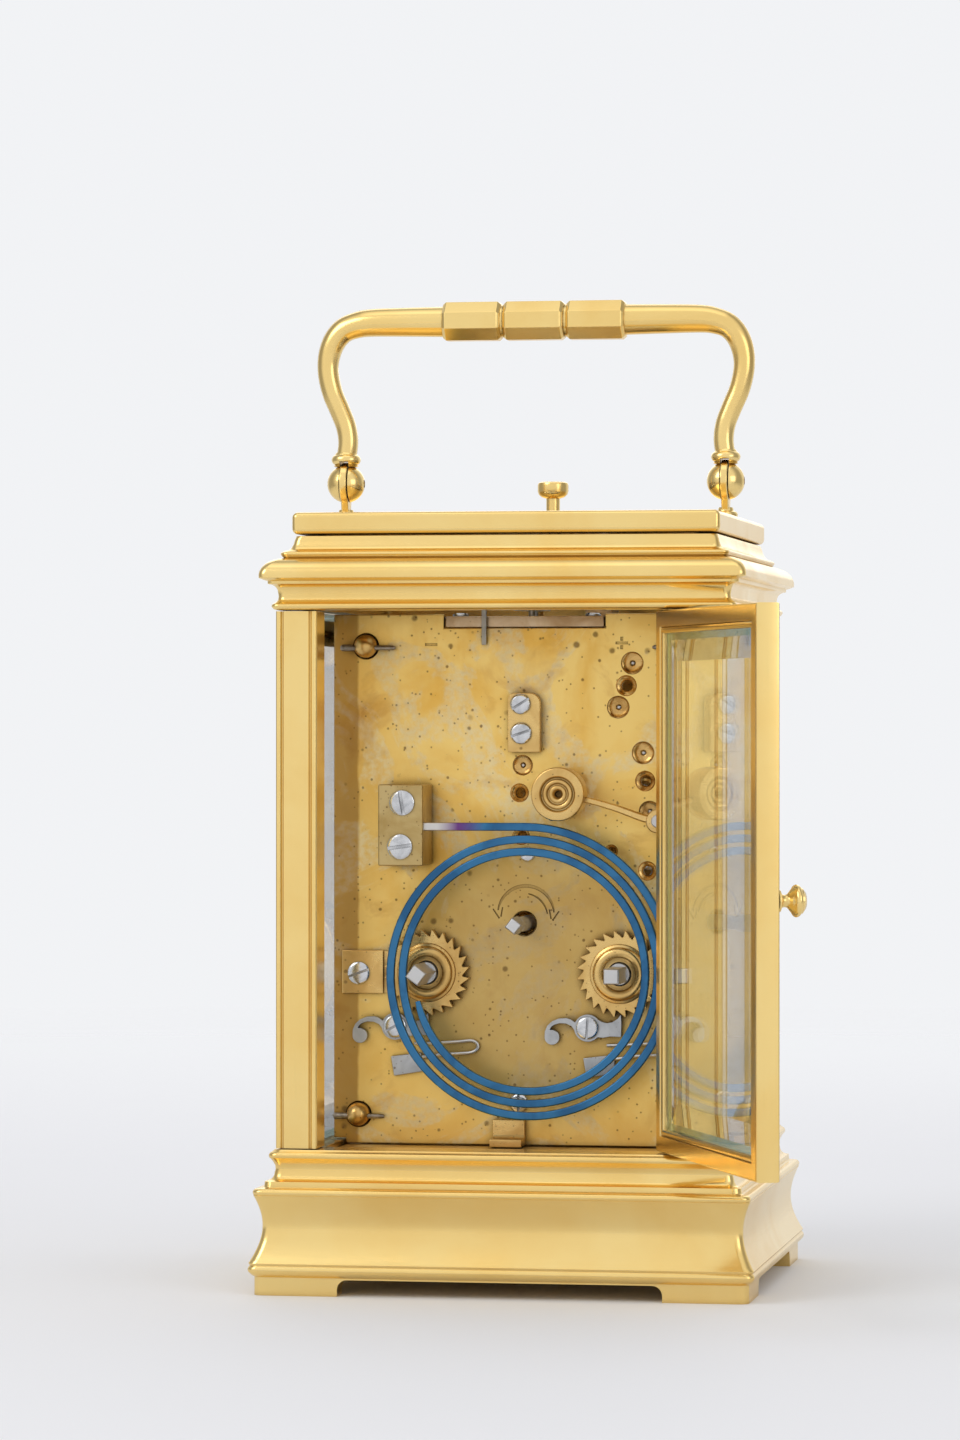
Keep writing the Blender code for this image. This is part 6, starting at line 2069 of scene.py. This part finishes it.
@dataclass
class Dial(SubAssembly):
    """Enamel dial with Roman hours, a minute track, and blued moon hands."""

    track: float = 27.6
    numeral_low: float = 18.4
    numeral_high: float = 24.4

    def build(self) -> None:
        """Models the dial, its figures, the motion work and the hands."""
        low, high = self.frame.low("dial_plate"), self.frame.high("dial_plate")
        centre = self.frame.pivot("centre_turn")
        face = low.y
        plate = Bench.block("dial_sheet", (low.x, high.x), (face, face + 1.0), (low.z, high.z), 0.35, 3)
        Bench.cut(plate, Bench.turned("hole", [(2.7, face - 1), (2.6, face), (2.6, face + 2)], Axis.Y,
                                      (centre.x, centre.z), 48))
        self.add(plate, "enamel", Finish.DIAL, "dial_plate")
        posts = [Bench.turned("post", [(1.2, face + 0.9), (1.2, high.y)], Axis.Y, (x, z), 20)
                 for x, z in itertools.product((-28.0, 28.0), (30.0, 112.0))]
        self.add(Bench.grouped("dial_feet", posts), "movement_brass", Finish.FITTING)
        self.figures((centre.x, centre.z), face)
        self.motion_work((centre.x, centre.z))
        self.hand("hour_hand", (centre.x, centre.z), 15.0, 0.62, 1.95, 1.75, -56.0, "hour")
        self.hand("minute_hand", (centre.x, centre.z), 23.0, 0.5, 1.1, 1.45, 50.0, "centre")

    @staticmethod
    def strokes(letter: str, tall: float) -> tuple[float, list[list[Point]]]:
        """Width and strokes of a Roman figure: thick and thin bars with hairline serifs."""
        serif = 0.2
        if letter == "I":
            bars = [(-0.42, 0.42)]
            width = 1.75
            polygons = [[(a, 0.0), (b, 0.0), (b, tall), (a, tall)] for a, b in bars]
            polygons += [[(-0.8, z), (0.8, z), (0.8, z + serif), (-0.8, z + serif)]
                         for z in (0.0, tall - serif)]
            return width, polygons
        if letter == "V":
            polygons = [[(-1.75, tall), (-0.75, tall), (0.35, 0.0), (-0.15, 0.0)],
                        [(1.25, tall), (1.5, tall), (0.35, 0.0),
                                                                                 (0.1, 0.0)]]
            polygons += [[(x - 0.75, tall - serif), (x + 0.75, tall - serif), (x + 0.75, tall),
                          (x - 0.75, tall)]
                         for x in (-1.25, 1.35)]
            return 4.3, polygons
        polygons = [[(-1.8, tall), (-0.8, tall), (1.8, 0.0), (0.8, 0.0)],
                    [(1.45, tall), (1.7, tall), (-1.45, 0.0),
                                                                       (-1.7, 0.0)]]
        polygons += [[(x - 0.75, z), (x + 0.75, z), (x + 0.75, z + serif), (x - 0.75, z + serif)]
                     for x, z in ((-1.3, tall - serif), (1.5, tall - serif), (-1.5, 0.0), (1.3, 0.0))]
        return 4.2, polygons

    def figures(self, centre: Point, face: float) -> None:
        """Lays out the hours, the minute track and its marks."""
        tall, about = self.numeral_high - self.numeral_low, Vector((centre[0], 0.0, centre[1]))
        glyphs, widths = {}, {}
        for letter in "IVX":
            widths[letter], polygons = self.strokes(letter, tall)
            parts = [Bench.slab("stroke", [(centre[0] + x, centre[1] + self.numeral_low + z) for x, z in p],
                                Axis.Y,
                                (face - 0.05, face + 0.02)) for p in polygons]
            glyphs[letter] = Bench.grouped(f"figure_{letter}", parts)
        parts = []
        for hour, text in enumerate(("XII", "I", "II", "III", "IIII", "V", "VI", "VII", "VIII", "IX", "X",
                                     "XI")):
            angle, total = math.radians(30 * hour), sum(widths[c] for c in text)
            place = -total / 2
            for letter in text:
                shift = place + widths[letter] / 2
                place += widths[letter]
                move = Vector((shift * math.cos(angle), 0.0, -shift * math.sin(angle)))
                parts.append(Bench.copied(glyphs[letter], "figure", move, angle, Axis.Y, about))
        for glyph in glyphs.values():
            bpy.data.objects.remove(glyph, do_unlink=True)
        for radius, width in ((self.track, 0.16), (self.track - 1.5, 0.1)):
            section = [(radius, face - 0.05), (radius + width, face - 0.05), (radius + width, face + 0.02),
                       (radius, face + 0.02)]
            parts.append(Bench.turned("line", section, Axis.Y, centre, 120, ring=True))
        for width, count in ((0.09, 60), (0.35, 12)):
            tick = Bench.slab("tick", [(centre[0] - width, centre[1] + self.track - 1.45),
                                       (centre[0] + width, centre[1] + self.track - 1.45),
                                       (centre[0] + width, centre[1] + self.track + 0.05),
                                       (centre[0] - width, centre[1] + self.track + 0.05)], Axis.Y,
                                       (face - 0.05, face + 0.02))
            parts += [Bench.copied(tick, "tick", Vector(), 2 * math.pi * i / count, Axis.Y, about)
                      for i in range(count)]
            bpy.data.objects.remove(tick, do_unlink=True)
        self.add(Bench.grouped("dial_figures", parts), "enamel", Finish.NUMERAL, flat=True)

    def motion_work(self, centre: Point) -> None:
        """Models the hour pipe and the minute wheel behind the dial."""
        low, high = self.frame.low("hour_wheel"), self.frame.high("hour_wheel")
        pipe = Bench.turned("pipe", [(1.25, low.y), (1.8, low.y), (1.8, high.y), (1.25, high.y)], Axis.Y,
                            centre, 32,
                            ring=True)
        wheel = Bench.slab("wheel", toothed(Tooth.ROUND, 40, (high.z - low.z) / 2, 0.8, centre), Axis.Y,
                           (-30.2, -29.2))
        Bench.cut(wheel, Bench.turned("bore", [(1.6, -40.0), (1.6, 0.0)], Axis.Y, centre, 28))
        self.add(Bench.grouped("hour_wheel_and_pipe", [pipe, wheel]), "movement_brass", Finish.WHEEL,
                 "hour_wheel",
                 body="hour")
        low, high = self.frame.low("minute_wheel"), self.frame.high("minute_wheel")
        at = ((low.x + high.x) / 2, (low.z + high.z) / 2)
        post = Bench.turned("post", [(0.8, -30.3), (0.9, -30.1), (0.9, high.y)], Axis.Y, at, 20)
        wheel = Bench.slab("wheel", toothed(Tooth.ROUND, 36, (high.z - low.z) / 2, 0.8, at), Axis.Y,
                           (-28.4, -27.2))
        leaves = Bench.slab("leaves", toothed(Tooth.LEAF, 10, 1.95, 0.6, at), Axis.Y, (-30.2, -29.2))
        self.add(Bench.grouped("minute_wheel_and_pinion", [post, wheel, leaves]), "movement_brass",
                 Finish.WHEEL,
                 "minute_wheel", body="minute_wheel")

    def hand(self, node: str, centre: Point, length: float, half: float, bore: float, moon: float,
             turn: float,
             body: str) -> None:
        """Models one hand with a pierced moon near its tip.

        Args:
            node: The CAD hand that it stands for.
            centre: The dial's centre.
            length: From the centre to the tip.
            half: Half its width at the boss.
            bore: Radius of its hole.
            moon: Radius of the moon.
            turn: Its turn in degrees, clockwise on the dial.
            body: The body it rides on.
        """
        low = self.frame.low(node).y
        boss, far = bore + 1.5, length * 0.70
        lower = math.asin(half / boss)
        outline = [polar((0, 0), boss, math.pi / 2 + lower + (2 * math.pi - 2 * lower) * k / 32)
                   for k in range(33)]
        near, out = math.asin(half * 0.8 / moon), math.asin(0.28 / moon)
        right = [polar((0.0, far), moon, -math.pi / 2 + near + (math.pi - near - out) * k / 14)
                 for k in range(15)]
        outline += [(half, boss + 0.2), *right, (0.28, far + moon + 0.2), (0.0, length),
                    (-0.28, far + moon + 0.2)]
        outline += [(-x, z) for x, z in reversed(right)]
        piece = Bench.slab(f"moon_{node}", [(centre[0] + x, centre[1] + z) for x, z in outline], Axis.Y,
                           (low, low + 0.42), 0.08)
        pierce = Bench.turned("pierce", [(moon * 0.62, low - 1), (moon * 0.62, low + 2)], Axis.Y,
                              (centre[0], centre[1] + far + moon * 0.14), 32)
        eye = Bench.turned("eye", [(bore, low - 1), (bore, low + 2)], Axis.Y, centre, 32)
        Bench.cut(piece, pierce, eye)
        piece.location = Vector((centre[0], 0.0, centre[1])) * MM
        piece.data.transform(Matrix.Translation(Vector((-centre[0], 0.0, -centre[1])) * MM))
        piece.rotation_euler.y = math.radians(turn)
        self.add(Bench.settled(piece), "blued_steel", Finish.BLUE, node, body=body)


# Studio ----------------------------------------------------------------------------------------


@dataclass
class Studio:
    """Pale sweep, soft lights and the camera."""

    floor_z: float
    camera_at: tuple[float, float, float] = (-154.44, 961.26, 99.36)
    yaw: float = 9.73
    pitch: float = 0.07
    lens: float = 130.32
    pale: Colour = (0.885, 0.895, 0.915)

    def build(self) -> None:
        """Lays the floor, hangs the lights and sets up the camera."""
        self.floor()
        self.world()
        self.light("key", (620.0, 640.0, 700.0), 520.0, 2.2)
        self.light("overhead", (0.0, 60.0, 800.0), 520.0, 0.35)
        self.light("fill", (-700.0, 500.0, 300.0), 420.0, 0.6)
        self.light("front", (100.0, -800.0, 500.0), 620.0, 1.0)
        self.camera()

    def floor(self) -> None:
        """A wide pale floor."""
        bpy.ops.object.select_all(action="DESELECT")
        bpy.ops.mesh.primitive_plane_add(size=12000 * MM, location=(0.0, 0.0, self.floor_z * MM))
        floor = bpy.context.object
        floor.name = "studio_floor"
        made, g, shader = new_material("studio_sweep")
        noise = g.node("TexNoise", Scale=3.0, Vector=g.node("TexCoord").outputs["Object"])
        plain = g.blend(noise.outputs["Fac"], (0.86, 0.865, 0.88), (0.875, 0.88, 0.895))
        mirrored = g.node("LightPath").outputs["Is Glossy Ray"]
        g.feed(shader, Base_Color=g.blend(mirrored, plain, (0.84, 0.84, 0.84)), Roughness=0.9,
               Specular_IOR_Level=0.2)
        reach = g.node("VectorMath", operation="LENGTH")
        g.link(g.node("TexCoord").outputs["Object"], reach.inputs[0])
        fade = g.node("MixShader")
        g.link(g.ramp(reach.outputs["Value"], 0.30, 0.95), fade.inputs[0])
        g.link(shader.outputs[0], fade.inputs[1])
        g.link(g.node("BsdfTransparent").outputs[0], fade.inputs[2])
        output = next(n for n in made.node_tree.nodes if n.type == "OUTPUT_MATERIAL")
        g.link(fade.outputs[0], output.inputs["Surface"])
        floor.data.materials.append(made)

    def world(self) -> None:
        """Pale surroundings, with bright panels behind the camera and behind the clock and dusk above."""
        world = bpy.data.worlds.new("studio")
        bpy.context.scene.world = world
        world.use_nodes = True
        g = Graph(world.node_tree)
        background = next(n for n in world.node_tree.nodes if n.type == "BACKGROUND")
        tone = g.blend(self.facing(g, (0.0, 0.88, 0.47), 0.25, 0.60), (0.40, 0.40, 0.41), (0.90, 0.90, 0.91))
        tone = g.blend(self.facing(g, (0.0, -1.0, 0.1), 0.45, 0.75), tone, (0.86, 0.87, 0.90))
        path = g.node("LightPath")
        tone = g.blend(path.outputs["Is Diffuse Ray"], tone, (0.72, 0.72, 0.74))
        seen = g.blend(path.outputs["Is Camera Ray"], tone, self.pale)
        g.link(seen, background.inputs["Color"])
        background.inputs["Strength"].default_value = 1.0

    @staticmethod
    def facing(g: Graph, way: tuple[float, float, float], low: float, high: float) -> bpy.types.NodeSocket:
        """How far the surroundings lie in one direction.

        Args:
            g: The world's graph.
            way: The direction.
            low: Cosine to it at which the mask starts.
            high: Cosine at which it is full.

        Returns:
            The mask.
        """
        near = g.node("VectorMath", operation="DOT_PRODUCT")
        g.link(g.node("TexCoord").outputs["Generated"], near.inputs[0])
        near.inputs[1].default_value = way
        return g.ramp(near.outputs["Value"], low, high)

    def light(self, name: str, at: tuple[float, float, float], size: float, power: float) -> None:
        """A square softbox that looks at the clock.

        Args:
            name: The light's name.
            at: Its place, in millimetres.
            size: Its side, in millimetres.
            power: Its power in watts.
        """
        bpy.ops.object.select_all(action="DESELECT")
        bpy.ops.object.light_add(type="AREA", location=Vector(at) * MM)
        lamp = bpy.context.object
        lamp.name = f"softbox_{name}"
        lamp.data.size = size * MM
        lamp.data.energy = power
        aim = Vector((0.0, 0.0, 80.0)) - Vector(at)
        lamp.rotation_euler = aim.to_track_quat("-Z", "Y").to_euler()

    def camera(self) -> None:
        """A long lens at the height of the case, looking at the open door."""
        bpy.ops.object.select_all(action="DESELECT")
        bpy.ops.object.camera_add(location=Vector(self.camera_at) * MM)
        camera = bpy.context.object
        camera.name = "studio_camera"
        yaw, pitch = math.radians(self.yaw), math.radians(self.pitch)
        aim = Vector((math.sin(yaw) * math.cos(pitch), -math.cos(yaw) * math.cos(pitch), math.sin(pitch)))
        camera.rotation_euler = aim.to_track_quat("-Z", "Y").to_euler()
        camera.data.lens = self.lens
        camera.data.sensor_fit = "VERTICAL"
        camera.data.sensor_height = 36.0
        camera.data.sensor_width = 24.0
        camera.data.clip_start = 0.01
        bpy.context.scene.camera = camera
        bpy.context.scene.view_settings.view_transform = "Standard"


def main() -> None:
    """Builds the sub-assemblies in order around the fixed frame."""
    logging.basicConfig(level=logging.INFO, format="%(name)s: %(message)s")
    frame = Frame()
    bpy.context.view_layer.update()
    for kind in ASSEMBLIES:
        assembly = kind(frame)
        log.info("building %s", kind.__name__)
        assembly.build()
        assembly.dress()
    Studio(frame.low("base_plinth").z).build()


ASSEMBLIES = (Base, Uprights, Crown, Glazing, CarryingHandle, RepeatButton, RearDoor, Plates, WindingWork,
              Trains,
              StrikeWork, Platform, Dial)

if __name__ == "__main__":
    main()
